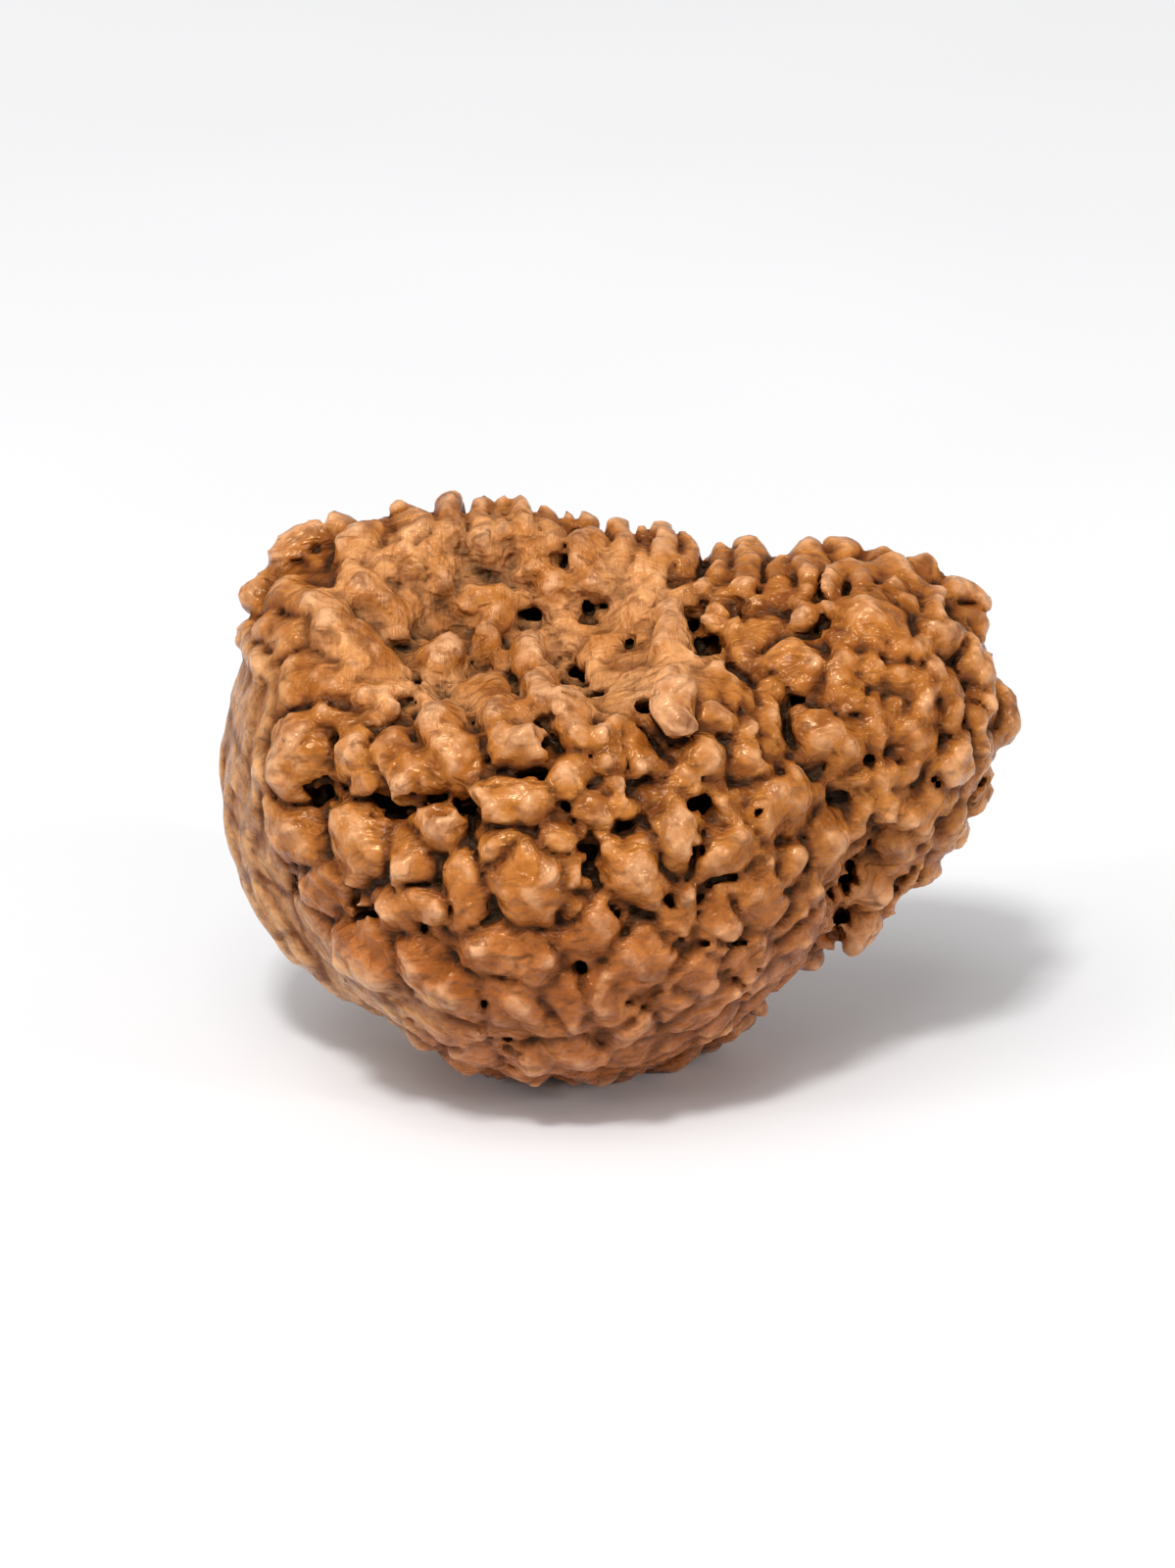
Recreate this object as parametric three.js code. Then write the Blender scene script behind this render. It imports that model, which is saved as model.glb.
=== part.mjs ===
// A rudraksha seed: one solid, half-moon shaped stone, knobbed, ridged and pitted all over.
// Millimetres, +Z up. The seed lies on a small flat spot, with its hollowed upper side towards -Y.
import * as THREE from "three";

// Working axes: u to the right, v up and w forward. They lean back about the X axis by this angle.
const LEAN = THREE.MathUtils.degToRad(22);
// Knobs and hollows are set out on the flat drawing w = 0, and carried to the body along lines
// that meet this far in front of it.
const SIGHT = 220;
// Each line is walked from this w to that one, in steps.
const WALK_FRONT = 11;
const WALK_BACK = -8.95;
const WALK_STEP = 0.1;
// The origin is under the middle of the seed, on its flat spot. After the lean it lies here.
const MIDDLE = new THREE.Vector2(-0.02, 0.15);
const FLAT_HEIGHT = -11.3;

// The half-moon's outline in the valleys between the knobs: its radius every 10 degrees from +u.
const OUTLINE = [
  13.05, 14.3, 14.0, 14.5, 13.0, 11.4, 9.85, 8.9, 9.35, 9.3, 9.7, 10.8,
  11.8, 12.9, 14.4, 14.8, 14.7, 14.5,
  14.75, 14.55, 14.25, 13.5, 12.6, 11.0, 10.7, 10.45, 10.15, 9.95, 9.7, 9.3,
  8.85, 8.65, 9.6, 10.35, 11.2, 12.2,
];
const RIM_DEPTH = -2.8; // w of the plane in which the outline lies
const RIM_THICKNESS = 4.7; // half the thickness of the body that fills the outline

// Lobes that swell out of the half-moon: middle, half lengths along u, v and w, turn about w in degrees.
const LOBES = [
  { name: "front", middle: [-1.7, -1.8, 0], half: [9.8, 8.6, 7.4], turn: 14 },
  { name: "front right", middle: [4.1, -0.5, -0.8], half: [4.9, 5.2, 6.2], turn: 30 },
  { name: "left", middle: [-7.6, 1.3, -1.6], half: [6.9, 7.4, 6.2], turn: 4 },
  { name: "right", middle: [8.7, 2.6, -1.8], half: [5.4, 5.6, 5.4], turn: -20 },
  { name: "heel", middle: [-1.8, -4.4, -3.7], half: [8.0, 6.3, 4.7], turn: 0 },
];
const BASIN = { middle: [-4, 8.6, 5.2], half: [8.6, 5.6, 6.6], turn: 0 };
const LOBE_BLEND = 1.5;
const BASIN_BLEND = 1.2;

// Knobs and ridges of the upper and front side. A knob is u, v, radius, rise above the body.
// A ridge adds its far end: u, v, radius.
const KNOBS = [
  // far rim, left to right
  [-13.4, 7.2, 0.6, 0.4], [-12.4, 9.2, 0.4, 0.3, -11.2, 9.6, 0.45], [-12.3, 7.8, 0.6, 0.5],
  [-10.4, 9.7, 0.6, 0.8], [-9.5, 9.3, 0.75, 0.9], [-8.5, 9.8, 0.45, 0.5, -8.5, 8.6, 0.35],
  [-8, 10.2, 0.5, 0.7], [-7.3, 9.6, 0.95, 0.9], [-6.9, 9, 0.45, 0.7, -6.7, 7.8, 0.32],
  [-6.2, 10.65, 0.45, 0.9, -6.5, 9.7, 0.45], [-4.9, 10.5, 0.45, 0.8, -4.9, 9.4, 0.4],
  [-4.3, 10.55, 0.4, 0.8, -4.3, 9.6, 0.3], [-3.7, 10.5, 0.45, 0.8, -3.6, 9.6, 0.4],
  [-2.6, 10.1, 0.4, 0.6, -2.4, 9.4, 0.35], [-2.5, 7.75, 0.65, 1.1], [-1.9, 10, 0.35, 0.5],
  [-1.2, 9.95, 0.42, 0.8], [-1.3, 9.1, 0.65, 0.9, -1.2, 8.4, 0.7],
  [0.05, 9.7, 0.42, 0.6, 0.15, 8.6, 0.35], [0.9, 9.5, 0.38, 0.5, 0.7, 8, 0.3],
  [1.6, 9.6, 0.45, 0.7, 1.7, 8.8, 0.4], [2.3, 9.1, 0.48, 0.7, 2.5, 8.3, 0.4],
  [4, 8.6, 0.6, 0.8, 3.8, 7.9, 0.4], [4.7, 8.7, 0.72, 0.9, 4.6, 7.5, 0.45],
  [6.2, 8.2, 0.55, 0.6, 6, 7.1, 0.6], [6.9, 8.65, 0.62, 0.8, 7.1, 7.9, 0.45],
  [8.3, 8.85, 0.65, 0.9], [9.2, 6.8, 0.55, 0.7, 9.8, 6.3, 0.6], [10.3, 8.15, 0.6, 0.8],
  [11.2, 8.15, 0.68, 0.9], [12.5, 7.45, 0.38, 0.6, 13.6, 7.2, 0.36],
  [13.15, 6.6, 0.5, 0.6, 13.1, 6.2, 0.5],
  // right side ridges
  [11.7, 5.8, 0.55, 0.7, 12.8, 5.4, 0.75], [12.8, 5.4, 0.75, 0.8, 13.5, 4.2, 0.6],
  [13.5, 4.2, 0.6, 0.7, 13.6, 3.4, 0.5], [12.4, 4.1, 0.3, 0.5, 12.4, 2.6, 0.32],
  [14.2, 4, 0.3, 0.5, 14.45, 2.4, 0.5], [13.4, 2.8, 0.25, 0.5, 13.6, 1.6, 0.2],
  [12.4, 1.3, 0.8, 0.9], [13.3, 1.1, 0.45, 0.4], [9.3, -3.5, 0.75, 0.8],
  [9.1, -4.7, 0.75, 0.7, 8.6, -5.3, 0.6],
  // near rim and centre
  [6.4, 4.7, 0.75, 0.7, 7.2, 4.5, 0.6], [8.1, 4.6, 0.5, 0.6, 8.4, 3.3, 0.6],
  [7.4, 2.1, 0.8, 1, 8.3, 1.9, 0.85], [4.9, 1.1, 0.65, 0.8], [2.15, 3.6, 0.72, 2.2, 2.2, 2.7, 0.6],
  [3, 1.1, 0.8, 1.3], [2.9, 1, 0.65, 1.1, 2.1, -0.4, 0.7], [2.1, -0.4, 0.75, 1.1, 2.1, -2, 0.7],
  [-1.75, 0.65, 0.62, 1], [-1.9, 3.1, 0.6, 1, -1.7, 2.1, 0.62], [-0.95, -0.8, 0.6, 0.8],
  [0.7, -2.8, 1.05, 1], [-2.4, -1.75, 0.6, 0.9], [-3.1, -3.2, 1.65, 1.2], [-1.9, -3, 0.7, 0.8],
  [-2, -4.2, 0.6, 0.6], [-6.65, 4.8, 0.85, 1.4], [-4.7, 3.6, 0.6, 1, -4.4, 2.6, 0.6],
  [-4.2, 1.7, 0.75, 1.2, -3.4, 1.7, 0.68], [-4.4, -0.5, 0.78, 1.2, -3.4, -0.5, 0.78],
  [-4.5, -1.9, 0.75, 0.9], [-6.8, 2.6, 0.65, 1.3, -5.9, 1.2, 0.82],
  [-9.7, 1.5, 0.65, 1.2, -9.4, 0.5, 0.7], [-8.3, 1.5, 0.68, 1.3, -7.8, 0.4, 0.7],
  [-11.8, 1.6, 0.95, 1.2, -12.2, 0.9, 0.9], [-13, 0.6, 0.6, 0.6],
  [-12.1, -1.6, 0.8, 0.9, -11.6, -1.7, 0.8], [-10, -1, 0.75, 1.1, -9.2, -2.2, 0.85],
  [-6.6, -1.3, 0.75, 1], [-7.6, -2.8, 0.85, 1], [-8.2, -4.3, 0.55, 0.8, -6.9, -4.2, 0.6],
  [-5.6, -2.9, 0.65, 0.8, -5.5, -4.4, 0.7], [-9.7, -6.1, 0.85, 0.9, -8.7, -6.4, 0.85],
  [-7.3, -6.3, 0.75, 0.9, -6.1, -7.4, 0.75], [-4.9, -5.5, 0.8, 0.7, -2.9, -6, 0.75],
  // basin left
  [-12.5, 7.1, 0.65, 0.9, -10.8, 6.4, 0.75], [-10.8, 6.2, 0.7, 0.9, -8.8, 4.7, 0.55],
  [-9.8, 7.4, 0.6, 0.8, -8.6, 6.5, 0.68], [-12.9, 5.9, 0.6, 0.7, -12.2, 5.7, 0.6],
  // lower front
  [-7, -8.9, 0.7, 0.4], [-5.4, -9.2, 0.8, 0.4], [-3.7, -7.4, 0.8, 0.4, -3.3, -8.1, 0.8],
  [-1.7, -7.6, 0.6, 0.5], [-3, -9.6, 0.8, 0.7, -1.6, -9.6, 0.7], [0.3, -8.3, 0.8, 0.5],
  [0.4, -9.6, 0.8, 0.4], [1.7, -9.2, 0.6, 0.4], [2.1, -7.6, 0.6, 0.4], [3.7, -4.8, 0.7, 0.7],
  [4.3, -1.8, 0.65, 0.8, 3.6, -2.4, 0.65], [7.8, -1.9, 0.62, 0.8],
];
const KNOB_SPREAD = 1.06; // widens every knob of the list, so that neighbours touch
const KNOB_SWELL = 0.1; // and adds this to its radius
const KNOB_RISE = 0.9; // share of the listed rise that stands above the body
const KNOB_BLEND = 0.35; // how softly the knobs run out into the ground
const GROOVE_WIDTH = 0.35; // a shallow groove runs where two knobs meet
const GROOVE_DEPTH = 0.05;

// Every knob has a cell of the ground, raised towards the knob's height, and furrows run between the cells.
const CELL_LEVEL = 0.85; // share of the knob's height
const CELL_HIGHEST = 0.8;
const FURROW_LEVEL = 0.2; // share of the lower cell's level at which the furrow beside it lies
const FURROW_DEPTH = 0.45; // and this much lower
const FURROW_WIDTH = 1.3;
const CELL_EDGE = -0.3; // a cell falls off from here to its reach, measured from its knob's skin
const CELL_REACH = 1.1;
const FURROW_REACH = 1.6; // a knob shapes the ground within this distance
// The relief starts and is full this far from the plane of the outline.
const RELIEF_NEAR = [-0.5, 1.5];
// It lacks this share in the basin, from this distance to its surface on, and low on the front,
// where v falls and w rises through these ranges.
const BASIN_LACK = 0.5;
const BASIN_NEAR = [1.6, 0.3];
const LOW_LACK = 0.5;
const LOW_FALL = [3, 7];
const LOW_FRONT = [-2, 1];
const GROUND_SINK = 0.1; // the ground lies this deep under the body's surface
const GROUND_SWAY = 0.2; // and sways up and down by this much
// The flank is the smooth left end, seen from the front: the share of the outline's radius where it starts
// and is full, and the angles where it fades in and out, in degrees from +u.
const FLANK_REACH = [0.84, 0.91];
const FLANK_ANGLES = [152, 164, 224, 238];
const FLANK_LACK = 0.9; // the small knobs lack this share of their rise there

// Pits, clefts and hollows: u, v, radius, depth, and the far end of a long one: u, v, radius.
const HOLLOWS = [
  [-3.1, 0.7, 0.45, 1.4], [-2, -0.5, 0.28, 1.2], [-6, 3.2, 0.32, 1.4, -5.6, 2.4, 0.25],
  [-7.5, 4, 0.4, 1.3, -6.8, 3.8, 0.3], [-7.9, 3.2, 0.5, 0.9], [-1.1, 6.8, 0.55, 1.8],
  [-3.1, 6.5, 0.35, 1.6], [2.8, 6.3, 0.4, 1.6, 3.2, 5.3, 0.55], [3.2, 5.4, 0.6, 1.9],
  [7.35, 6.2, 0.35, 1.3, 7.4, 5.7, 0.3], [8, 0.65, 0.35, 1.3, 9.2, 1.15, 0.38],
  [9.5, 3.75, 0.3, 1.1], [0.2, -1.4, 0.3, 1.1], [11.8, 0.5, 0.28, 1],
  [-6.9, -5.2, 0.3, 0.9, -7.3, -5.1, 0.25], [7, 3.25, 0.3, 1],
];
// Deep clefts and caves between knobs, cut last, as the hollows are listed.
const CLEFTS = [
  [-10.9, 0.1, 0.7, 1.7], [-11.2, -0.5, 0.4, 1.4, -10.6, -0.1, 0.45],
  [-9.3, -0.35, 0.3, 1.4, -8.5, -0.75, 0.44], [-8.5, -0.75, 0.44, 1.5, -7.5, -0.62, 0.3],
  [-7.5, -0.62, 0.3, 1.4, -6.7, -0.3, 0.36], [-6.1, -0.25, 0.36, 1.5, -5.45, -0.75, 0.3],
  [-5.45, -0.75, 0.3, 1.4, -5.5, -1.6, 0.22], [-9.75, -4.5, 0.45, 1.7, -9.2, -4.55, 0.4],
  [-2.1, 4.9, 0.4, 1.9, -1.4, 4.1, 0.38], [-1.4, 4.1, 0.38, 1.8, -0.7, 3.2, 0.35],
  [8.9, -2.5, 0.28, 1.8, 8.35, -3.8, 0.42], [8.35, -3.8, 0.42, 1.9, 8.3, -5, 0.3],
  [8.3, -5, 0.3, 1.8, 7.2, -6.1, 0.28],
];
const HOLLOW_BLEND = 0.25;
const CLEFT_BLEND = 0.15;
const CLEFT_MOUTH = 1.1; // the same for the mouth of a cleft, which lies between knobs
const CLEFT_PITCH = 0.9; // the bores of a cleft are this far apart, times its radius
const HOLLOW_MOUTH = 0.1; // how far outside the body the mouth of a hollow starts
const HOLLOW_TIP = 0.65; // the bottom's radius as a share of the listed one

// Smaller knobs fill the rest of the surface. Their places are spread evenly round the middle.
const CORE = new THREE.Vector3(0, -0.5, -2.6);
const CORE_REACH = 19; // nothing lies farther from it
const HEIGHT_STRAY = 0.03; // the places stray a little from the even spread
const TURN_STRAY = 0.05;
const SMALL_KNOBS = 300;
const SMALL_RADIUS = [1.0, 1.4]; // least and most, as in the lists below
const SMALL_RISE = [0.25, 0.55]; // as a share of the radius
const SMALL_HALF_LENGTH = [0.1, 0.65];
const SMALL_CLEAR = 0.3; // a small knob keeps this far from a larger one
const KNOB_CLEAR = 0.25; // and this share of the larger one's radius more
const HOLLOW_CLEAR = 0.45; // and this far from a hollow
const SMALL_BLEND = 0.22;
const LARGE_KNOBS = 420; // larger ones stand among them on the far side, and lower near the outline
const LARGE_RADIUS = [0.6, 1.35];
const LARGE_RISE = [0.45, 0.8];
const LARGE_HALF_LENGTH = [0.1, 1.4];
const HIDDEN_EXTRA_RISE = 0.1;
const RIM_NEAR = [2.5, 0.5]; // distance from the outline's plane at which the knobs start to sink, and end
const RIM_SHARE_LOST = 0.6;
const RIM_SINK = 0.15;
const END_TAPER = 0.25; // a short rod's far end is up to this share thinner
const RIGHT_END = 5; // right of this u, and above v = 0, every rod lies along this direction
const RIGHT_LIE = new THREE.Vector3(0.25, 1, 0);
const GOLDEN_ANGLE = Math.PI * (3 - Math.sqrt(5));
const HIDDEN_BELOW = 0.02; // a place is hidden from the front if it faces there by less than this

// Slow waves bend every knob and ridge a little, so that none is a plain ball or rod.
const WAVES = [
  { pitch: 2.1, height: 0.16 },
  { pitch: 4.3, height: 0.09 },
];

// The skin is found on a grid of this step, in a box that holds the whole seed.
const STEP = 0.7;
const BOX_LOW = new THREE.Vector3(-16.6, -12.6, -10.6);
const BOX_HIGH = new THREE.Vector3(16.6, 12.4, 9.4);
const RELIEF = 2.6; // the skin lies at most this far from the body
const FLAT_SNAP = 0.03; // a vertex this near the flat spot is laid on it

function smoothJoin(a, b, blend) {
  const near = Math.max(blend - Math.abs(a - b), 0) / blend;
  return Math.min(a, b) - (near * near * blend) / 4;
}

function smoothCut(a, b, blend) {
  return -smoothJoin(-a, -b, blend);
}

function ellipsoid(p, { middle, half, turn }) {
  const angle = THREE.MathUtils.degToRad(turn);
  const du = p.x - middle[0];
  const dv = p.y - middle[1];
  const u = du * Math.cos(angle) + dv * Math.sin(angle);
  const v = dv * Math.cos(angle) - du * Math.sin(angle);
  const w = p.z - middle[2];
  const near = Math.hypot(u / half[0], v / half[1], w / half[2]);
  const slope = Math.hypot(u / half[0] ** 2, v / half[1] ** 2, w / half[2] ** 2);
  return (near * (near - 1)) / (slope + 1e-9);
}

// The outline's radius at an angle, as a smooth curve through the listed values.
function outlineRadius(angle) {
  const count = OUTLINE.length;
  const place = (((angle / (2 * Math.PI)) * count) % count + count) % count;
  const i = Math.floor(place);
  const t = place - i;
  const at = (step) => OUTLINE[(i + step + count) % count];
  const [a, b, c, d] = [at(-1), at(0), at(1), at(2)];
  const curve = b + 0.5 * t * (c - a + t * (2 * a - 5 * b + 4 * c - d + t * (3 * (b - c) + d - a)));
  return curve * (1 - RIM_DEPTH / SIGHT);
}

function halfMoon(p) {
  const radius = outlineRadius(Math.atan2(p.y, p.x));
  const reach = Math.hypot(p.x, p.y);
  const w = p.z - RIM_DEPTH;
  const near = Math.hypot(reach / radius, w / RIM_THICKNESS);
  const slope = Math.hypot(reach / radius ** 2, w / RIM_THICKNESS ** 2);
  return (near * (near - 1)) / (slope + 1e-9);
}

// Signed distance to the bare body, without knobs: negative inside.
function body(p) {
  let d = halfMoon(p);
  for (const lobe of LOBES) d = smoothJoin(d, ellipsoid(p, lobe), LOBE_BLEND);
  return smoothCut(d, -ellipsoid(p, BASIN), BASIN_BLEND);
}

// Rises smoothly from 0 at the start to 1 at the end.
function ramp(value, start, end) {
  const t = THREE.MathUtils.clamp((value - start) / (end - start), 0, 1);
  return t * t * (3 - 2 * t);
}

// 1 on the smooth left flank and 0 elsewhere.
function flank(p) {
  const angle = Math.atan2(p.y, p.x);
  const degrees = (THREE.MathUtils.radToDeg(angle) + 360) % 360;
  const reach = Math.hypot(p.x, p.y) / outlineRadius(angle);
  const [a, b, c, d] = FLANK_ANGLES;
  return ramp(degrees, a, b) * ramp(-degrees, -d, -c) * ramp(reach, ...FLANK_REACH);
}

// Wanders between about -1 and 1, over a few millimetres.
function slowWave({ x: u, y: v, z: w }) {
  const across = Math.sin(1.3 * u + 1.1 * Math.sin(0.9 * v));
  return across * Math.sin(1.2 * v + 1.3 * Math.sin(0.8 * w + 1)) + 0.2 * Math.sin(2.1 * w);
}

// 1 in and on the basin, 0 a little away from it.
function basinShare(p) {
  return ramp(ellipsoid(p, BASIN), ...BASIN_NEAR);
}

// How strong the relief of the ground is.
function reliefShare(p) {
  const full = ramp(Math.abs(p.z - RIM_DEPTH), ...RELIEF_NEAR) * (1 - flank(p));
  const low = ramp(-p.y, ...LOW_FALL) * ramp(p.z, ...LOW_FRONT);
  return full * (1 - BASIN_LACK * basinShare(p)) * (1 - LOW_LACK * low);
}

// Signed distance to the ground between the knobs, without its cells.
function ground(p) {
  return body(p) + (GROUND_SINK + GROUND_SWAY * slowWave(p)) * reliefShare(p);
}

function bodyNormal(p) {
  const e = 0.05;
  const slope = (axis) => {
    const step = new THREE.Vector3().setComponent(axis, e);
    return body(p.clone().add(step)) - body(p.clone().sub(step));
  };
  return new THREE.Vector3(slope(0), slope(1), slope(2)).normalize();
}

function onSightLine(u, v, w) {
  return new THREE.Vector3(u * (1 - w / SIGHT), v * (1 - w / SIGHT), w);
}

// Where the line through (u, v) first meets the body at a level, or where it passes closest.
function landing(u, v, level) {
  let best = WALK_FRONT;
  let least = Infinity;
  let before = Infinity;
  for (let w = WALK_FRONT; w > WALK_BACK; w -= WALK_STEP) {
    const d = body(onSightLine(u, v, w));
    if (d < level) return onSightLine(u, v, w + WALK_STEP * (1 - (before - level) / (before - d)));
    if (d < least) {
      least = d;
      best = w;
    }
    before = d;
  }
  return onSightLine(u, v, best);
}

// A rod with round ends, as { a, b, ra, rb }.
function rod(a, b, ra, rb) {
  return { a, b, ra, rb };
}

function distanceTo(p, { a, b, ra, rb }) {
  const abx = b.x - a.x;
  const aby = b.y - a.y;
  const abz = b.z - a.z;
  const apx = p.x - a.x;
  const apy = p.y - a.y;
  const apz = p.z - a.z;
  const long = abx * abx + aby * aby + abz * abz;
  const along = long < 1e-6 ? 0 : (apx * abx + apy * aby + apz * abz) / long;
  const t = Math.min(Math.max(along, 0), 1);
  return Math.hypot(apx - t * abx, apy - t * aby, apz - t * abz) - (ra + (rb - ra) * t);
}

function knobRods() {
  return KNOBS.map(([u, v, listed, rise, u2 = u, v2 = v, listed2 = listed]) => {
    const r = listed * KNOB_SPREAD + KNOB_SWELL;
    const r2 = listed2 * KNOB_SPREAD + KNOB_SWELL;
    const a = landing(u, v, rise * KNOB_RISE - r);
    const b = landing(u2, v2, rise * KNOB_RISE - r2);
    return rod(a, b, r, r2);
  });
}

function hollowRods() {
  return HOLLOWS.flatMap(([u, v, r, depth, u2 = u, v2 = v, r2 = r]) => {
    const a = landing(u, v, r - depth);
    const b = landing(u2, v2, r2 - depth);
    const bottom = rod(a, b, r * HOLLOW_TIP, r2 * HOLLOW_TIP);
    const mouthA = rod(a, landing(u, v, HOLLOW_MOUTH), r * HOLLOW_TIP, r);
    const mouthB = rod(b, landing(u2, v2, HOLLOW_MOUTH), r2 * HOLLOW_TIP, r2);
    return [bottom, mouthA, mouthB];
  });
}

// Short bores side by side along each cleft, from its bottom to its mouth.
function cleftRods() {
  return CLEFTS.flatMap(([u, v, r, depth, u2 = u, v2 = v, r2 = r]) => {
    const count = Math.ceil(Math.hypot(u2 - u, v2 - v) / (Math.min(r, r2) * CLEFT_PITCH));
    const at = (i) => {
      const t = count ? i / count : 0;
      const radius = THREE.MathUtils.lerp(r, r2, t);
      const [pu, pv] = [THREE.MathUtils.lerp(u, u2, t), THREE.MathUtils.lerp(v, v2, t)];
      return rod(landing(pu, pv, radius - depth), landing(pu, pv, CLEFT_MOUTH), radius * HOLLOW_TIP, radius);
    };
    return Array.from({ length: count + 1 }, (_, i) => at(i));
  });
}

// A number from 0 to 1 that depends only on the knob's index and the purpose.
function chance(index, purpose) {
  const x = Math.sin(index * 12.9898 + purpose * 78.233) * 43758.5453;
  return x - Math.floor(x);
}

// The outermost point of a form, the body or its ground, in a direction from the core.
function outermost(direction, form) {
  const at = (t) => form(CORE.clone().addScaledVector(direction, t));
  let t = CORE_REACH;
  while (at(t) > 0) t -= WALK_STEP;
  const inside = -at(t);
  return CORE.clone().addScaledVector(direction, t + (WALK_STEP * inside) / (at(t + WALK_STEP) + inside));
}

// One of the evenly spread places on a form: its point, its normal, and whether it faces away from the front.
function spreadPlace(i, count, form) {
  const even = 1 - (2 * (i + 0.5)) / count;
  const height = THREE.MathUtils.clamp(even + (chance(i, 1) - 0.5) * HEIGHT_STRAY, -1, 1);
  const azimuth = i * GOLDEN_ANGLE + (chance(i, 2) - 0.5) * TURN_STRAY;
  const ring = Math.sqrt(1 - height * height);
  const direction = new THREE.Vector3(ring * Math.cos(azimuth), height, ring * Math.sin(azimuth));
  const p = outermost(direction, form);
  const normal = bodyNormal(p);
  const facing = normal.dot(new THREE.Vector3(0, 0, SIGHT).sub(p).normalize());
  return { p, normal, hidden: facing < HIDDEN_BELOW };
}

// A short rod that lies on the body in a direction of its own.
function lyingRod(i, { p, normal }, radius, rise, half) {
  const middle = p.clone().addScaledVector(normal, rise - radius);
  const lie = new THREE.Vector3(chance(i, 5) - 0.5, chance(i, 6) - 0.5, chance(i, 7) - 0.5);
  if (p.x > RIGHT_END && p.y > 0) lie.copy(RIGHT_LIE);
  lie.addScaledVector(normal, -lie.dot(normal)).normalize();
  const a = middle.clone().addScaledVector(lie, -half);
  const b = middle.clone().addScaledVector(lie, half);
  return rod(a, b, radius, radius * (1 - END_TAPER * (1 - chance(i, 10))));
}

function between([least, most], share) {
  return least + (most - least) * share;
}

function largeKnobRods() {
  const rods = [];
  for (let i = 0; i < LARGE_KNOBS; i++) {
    const place = spreadPlace(i, LARGE_KNOBS, body);
    if (!place.hidden) continue;
    const radius = between(LARGE_RADIUS, chance(i, 3) ** 1.5);
    const rim = ramp(Math.abs(place.p.z - RIM_DEPTH), ...RIM_NEAR);
    const full = radius * between(LARGE_RISE, chance(i, 4));
    const rise = full * (1 - RIM_SHARE_LOST * rim) - RIM_SINK * rim;
    rods.push(lyingRod(i, place, radius, rise, between(LARGE_HALF_LENGTH, chance(i, 8) ** 2)));
  }
  return rods;
}

function smallKnobRods(knobs, hollows) {
  const rods = [];
  for (let i = 0; i < SMALL_KNOBS; i++) {
    const place = spreadPlace(i, SMALL_KNOBS, ground);
    const covered = (k) => distanceTo(place.p, k) < SMALL_CLEAR + KNOB_CLEAR * Math.min(k.ra, k.rb);
    const hollowed = (h) => distanceTo(place.p, h) < HOLLOW_CLEAR;
    if (knobs.some(covered) || hollows.some(hollowed)) continue;
    const radius = between(SMALL_RADIUS, chance(i, 3) ** 2);
    const steep = between(SMALL_RISE, chance(i, 4)) + (place.hidden ? HIDDEN_EXTRA_RISE : 0);
    const rise = radius * steep * (1 - FLANK_LACK * flank(place.p));
    rods.push(lyingRod(i, place, radius, rise, between(SMALL_HALF_LENGTH, chance(i, 8) ** 2)));
  }
  return rods;
}

function bend(p) {
  const q = p.clone();
  for (const { pitch, height } of WAVES) {
    q.x += height * Math.sin(pitch * p.y + 1.3) * Math.cos(pitch * 0.8 * p.z + 0.4);
    q.y += height * Math.sin(pitch * 0.9 * p.z + 2.1) * Math.cos(pitch * 1.1 * p.x + 1.4);
    q.z += height * Math.sin(pitch * 1.05 * p.x + 0.2) * Math.cos(pitch * 0.95 * p.y + 2.6);
  }
  return q;
}

// Joins two forms with a narrow groove along the line where they meet.
function groovedJoin(a, b, width) {
  const near = Math.max(width - Math.abs(a - b), 0) / width;
  return Math.min(a, b) + near * near * GROOVE_DEPTH;
}

// How high a knob's cell may come up.
function cellTop({ a, b, ra, rb }) {
  return Math.min(CELL_LEVEL * Math.max(body(a) + ra, body(b) + rb), CELL_HIGHEST);
}

// The knobs and hollows, with each knob's cell.
function seedRods() {
  const knobs = [...knobRods(), ...largeKnobRods()];
  const hollows = hollowRods();
  const clefts = cleftRods();
  const small = smallKnobRods(knobs, [...hollows, ...clefts]);
  const withTop = (k) => ({ ...k, top: cellTop(k) });
  return { knobs: knobs.map(withTop), small: small.map(withTop), hollows, clefts };
}

// Signed distance to the ground with its cells and small knobs, then with the knobs and hollows.
function relief(q, rods) {
  let first = FURROW_REACH;
  let second = FURROW_REACH;
  let level = 0;
  let nextLevel = 0;
  const visit = (k, join, before, blend) => {
    const near = distanceTo(q, k);
    if (near < first) {
      [second, nextLevel] = [first, level];
      [first, level] = [near, k.top];
    } else if (near < second) {
      [second, nextLevel] = [near, k.top];
    }
    return join(before, near, blend);
  };
  let stand = FURROW_REACH;
  let low = FURROW_REACH;
  for (const knob of rods.knobs) stand = visit(knob, groovedJoin, stand, GROOVE_WIDTH);
  for (const knob of rods.small) low = visit(knob, smoothJoin, low, SMALL_BLEND);
  const t = Math.min((second - first) / FURROW_WIDTH, 1);
  const crown = t * (2 - t);
  const furrow = FURROW_LEVEL * Math.min(level, nextLevel);
  const height = (level * crown + furrow * (1 - crown)) * (1 - ramp(first, CELL_EDGE, CELL_REACH));
  let d = ground(q) - reliefShare(q) * (height - FURROW_DEPTH * (1 - crown));
  d = smoothJoin(d, low, SMALL_BLEND);
  for (const hollow of rods.hollows) d = smoothCut(d, -distanceTo(q, hollow), HOLLOW_BLEND);
  d = smoothJoin(d, stand, KNOB_BLEND);
  for (const cleft of rods.clefts) d = smoothCut(d, -distanceTo(q, cleft), CLEFT_BLEND);
  return d;
}

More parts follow.
